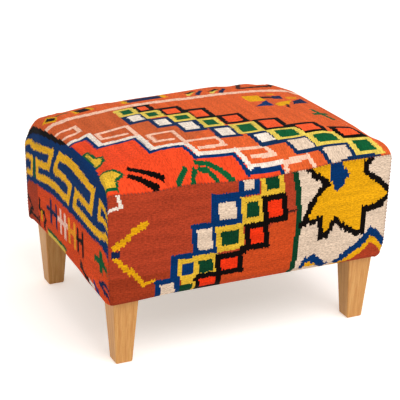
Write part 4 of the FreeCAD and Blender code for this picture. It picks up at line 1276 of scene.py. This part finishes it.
stitches = linked("seam_stitches", stitch_mesh)
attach(stitches, BODY)


# Bottom cloth
# Thin black spun-bonded dust cloth, cut round the legs and stapled over the raw hems. Its bonded fibres
# show as a fine dull speckle.
CLOTH_X, CLOTH_Y = 276, 214
CLOTH_BASE, CLOTH_TOP = 135.2, 135.8
LEG_CUT_X, LEG_CUT_Y = 229.5, 167.5
CLOTH_LINES_X, CLOTH_LINES_Y = 47, 33

dust_cloth, tree = empty_material("spun_bonded_dust_cloth")
cloth_place = add_node(tree, "ShaderNodeUVMap", uv_map="cloth")
# Bond points about 1.5 mm apart
bonds = add_node(tree, "ShaderNodeTexVoronoi", {"Vector": cloth_place, "Scale": 670})
sooty = add_node(tree, "ShaderNodeValToRGB", {"Fac": bonds}, ramp=((0.0, "#0E0E0F"), (1.0, "#242426")))
relief = add_node(tree, "ShaderNodeBump", {"Height": bonds, "Strength": 0.3, "Distance": 0.0002})
shader = add_node(
    tree, "ShaderNodeBsdfPrincipled", {"Base Color": sooty, "Roughness": 0.85, "Normal": relief}
)
add_node(tree, "ShaderNodeOutputMaterial", {"Surface": shader})
share_x = np.linspace(-1, 1, CLOTH_LINES_X)
lines_y = np.concatenate([[-CLOTH_Y], np.linspace(-LEG_CUT_Y, LEG_CUT_Y, CLOTH_LINES_Y), [CLOTH_Y]])
wide, deep = np.meshgrid(share_x, lines_y, indexing="ij")
reach = np.where(np.abs(deep) >= LEG_CUT_Y, LEG_CUT_X, CLOTH_X)
lower = np.stack([wide * reach, deep, np.full_like(deep, CLOTH_BASE)], axis=-1)
upper = np.stack([wide * reach, deep, np.full_like(deep, CLOTH_TOP)], axis=-1)
bottom_cloth = shell("dust_cloth", lower, upper, (1, 1), dust_cloth, lower[..., :2])
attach(bottom_cloth, BODY)
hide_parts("bottom_cloth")


# Studio
# A pale seamless floor under a broad soft light high above the front, with the world filling the shadows.
# The camera stands to the left of the front, above the seat.
FLOOR_HALF = 9
FLOOR_GLOW = 0.5
WORLD_LIGHT, WORLD_SEEN = 0.66, 1.0


def seen_straight(tree):
    """A node that tells whether a ray comes from the camera, straight or by a mirror or glass."""
    ray = add_node(tree, "ShaderNodeLightPath")
    ways = ("Camera", "Glossy", "Transmission")
    straight, mirrored, through = (ray.outputs[f"Is {way} Ray"] for way in ways)
    direct = add_node(tree, "ShaderNodeMath", {0: straight, 1: mirrored}, operation="MAXIMUM")
    return add_node(tree, "ShaderNodeMath", {0: direct, 1: through}, operation="MAXIMUM")


floor_paper, tree = empty_material("pale_seamless_paper")
place = add_node(tree, "ShaderNodeTexCoord")
mottle = add_node(
    tree, "ShaderNodeTexNoise", {"Vector": place.outputs["Object"], "Scale": 3, "Detail": 2}
)
paper = add_node(tree, "ShaderNodeValToRGB", {"Fac": mottle}, ramp=((0.0, "#F4F4F4"), (1.0, "#FAFAFA")))
lit = add_node(tree, "ShaderNodeBsdfDiffuse", {"Color": paper})
glow_strength = add_node(
    tree, "ShaderNodeMath", {0: seen_straight(tree), 1: FLOOR_GLOW}, operation="MULTIPLY"
)
glow = add_node(tree, "ShaderNodeEmission", {"Color": linear("#FFF1E4"), "Strength": glow_strength})
both = add_node(tree, "ShaderNodeAddShader", {0: lit, 1: glow})
add_node(tree, "ShaderNodeOutputMaterial", {"Surface": both})
floor_mesh = bpy.data.meshes.new("floor")
floor_corners = [(x * FLOOR_HALF, y * FLOOR_HALF, 0) for x, y in ((-1, -1), (1, -1), (1, 1), (-1, 1))]
floor_mesh.from_pydata(floor_corners, [], [(0, 1, 2, 3)])
floor_mesh.materials.append(floor_paper)
floor = linked("floor", floor_mesh)

scene = bpy.context.scene
scene.view_settings.view_transform = "Standard"
world = bpy.data.worlds.new("studio_white")
scene.world = world
world.use_nodes = True
world.node_tree.nodes.clear()
tree = world.node_tree
strength = add_node(tree, "ShaderNodeMapRange", {0: seen_straight(tree), 3: WORLD_LIGHT, 4: WORLD_SEEN})
sky = add_node(tree, "ShaderNodeBackground", {"Color": (1, 1, 1, 1), "Strength": strength})
add_node(tree, "ShaderNodeOutputWorld", {"Surface": sky})

LAMP_PLACE, LAMP_AIM = Vector((0.35, -1.9, 2.9)), Vector((0, 0, 0.3))
LAMP_SIZE, LAMP_POWER = 2.4, 60
lamp_data = bpy.data.lights.new("key_light", "AREA")
lamp_data.shape = "SQUARE"
lamp_data.size = LAMP_SIZE
lamp_data.energy = LAMP_POWER
lamp = linked("key_light", lamp_data)
lamp.location = LAMP_PLACE
lamp.rotation_euler = (LAMP_AIM - LAMP_PLACE).to_track_quat("-Z", "Y").to_euler()

CAMERA_YAW, CAMERA_PITCH, CAMERA_ROLL = (math.radians(angle) for angle in (-25.41, 21.73, 1.24))
CAMERA_FOCAL_PIXELS = 1396.8
CAMERA_ASIDE, CAMERA_UP, CAMERA_AWAY = -0.0019, 0.0195, 2.8902
AIM_HEIGHT = 0.2
IMAGE_PIXELS = 400
back = Vector(
    (
        math.sin(CAMERA_YAW) * math.cos(CAMERA_PITCH),
        -math.cos(CAMERA_YAW) * math.cos(CAMERA_PITCH),
        math.sin(CAMERA_PITCH),
    )
)
level = Vector((math.cos(CAMERA_YAW), math.sin(CAMERA_YAW), 0))
upward = back.cross(level)
right = math.cos(CAMERA_ROLL) * level + math.sin(CAMERA_ROLL) * upward
up = -math.sin(CAMERA_ROLL) * level + math.cos(CAMERA_ROLL) * upward
camera_data = bpy.data.cameras.new("camera")
camera_data.sensor_width = 36
camera_data.lens = CAMERA_FOCAL_PIXELS * camera_data.sensor_width / IMAGE_PIXELS
camera_data.clip_end = 100
camera = linked("camera", camera_data)
location = Vector((0, 0, AIM_HEIGHT)) + CAMERA_ASIDE * right + CAMERA_UP * up + CAMERA_AWAY * back
turned = Matrix((right, up, back)).transposed().to_4x4()
camera.matrix_world = Matrix.Translation(location) @ turned
scene.camera = camera
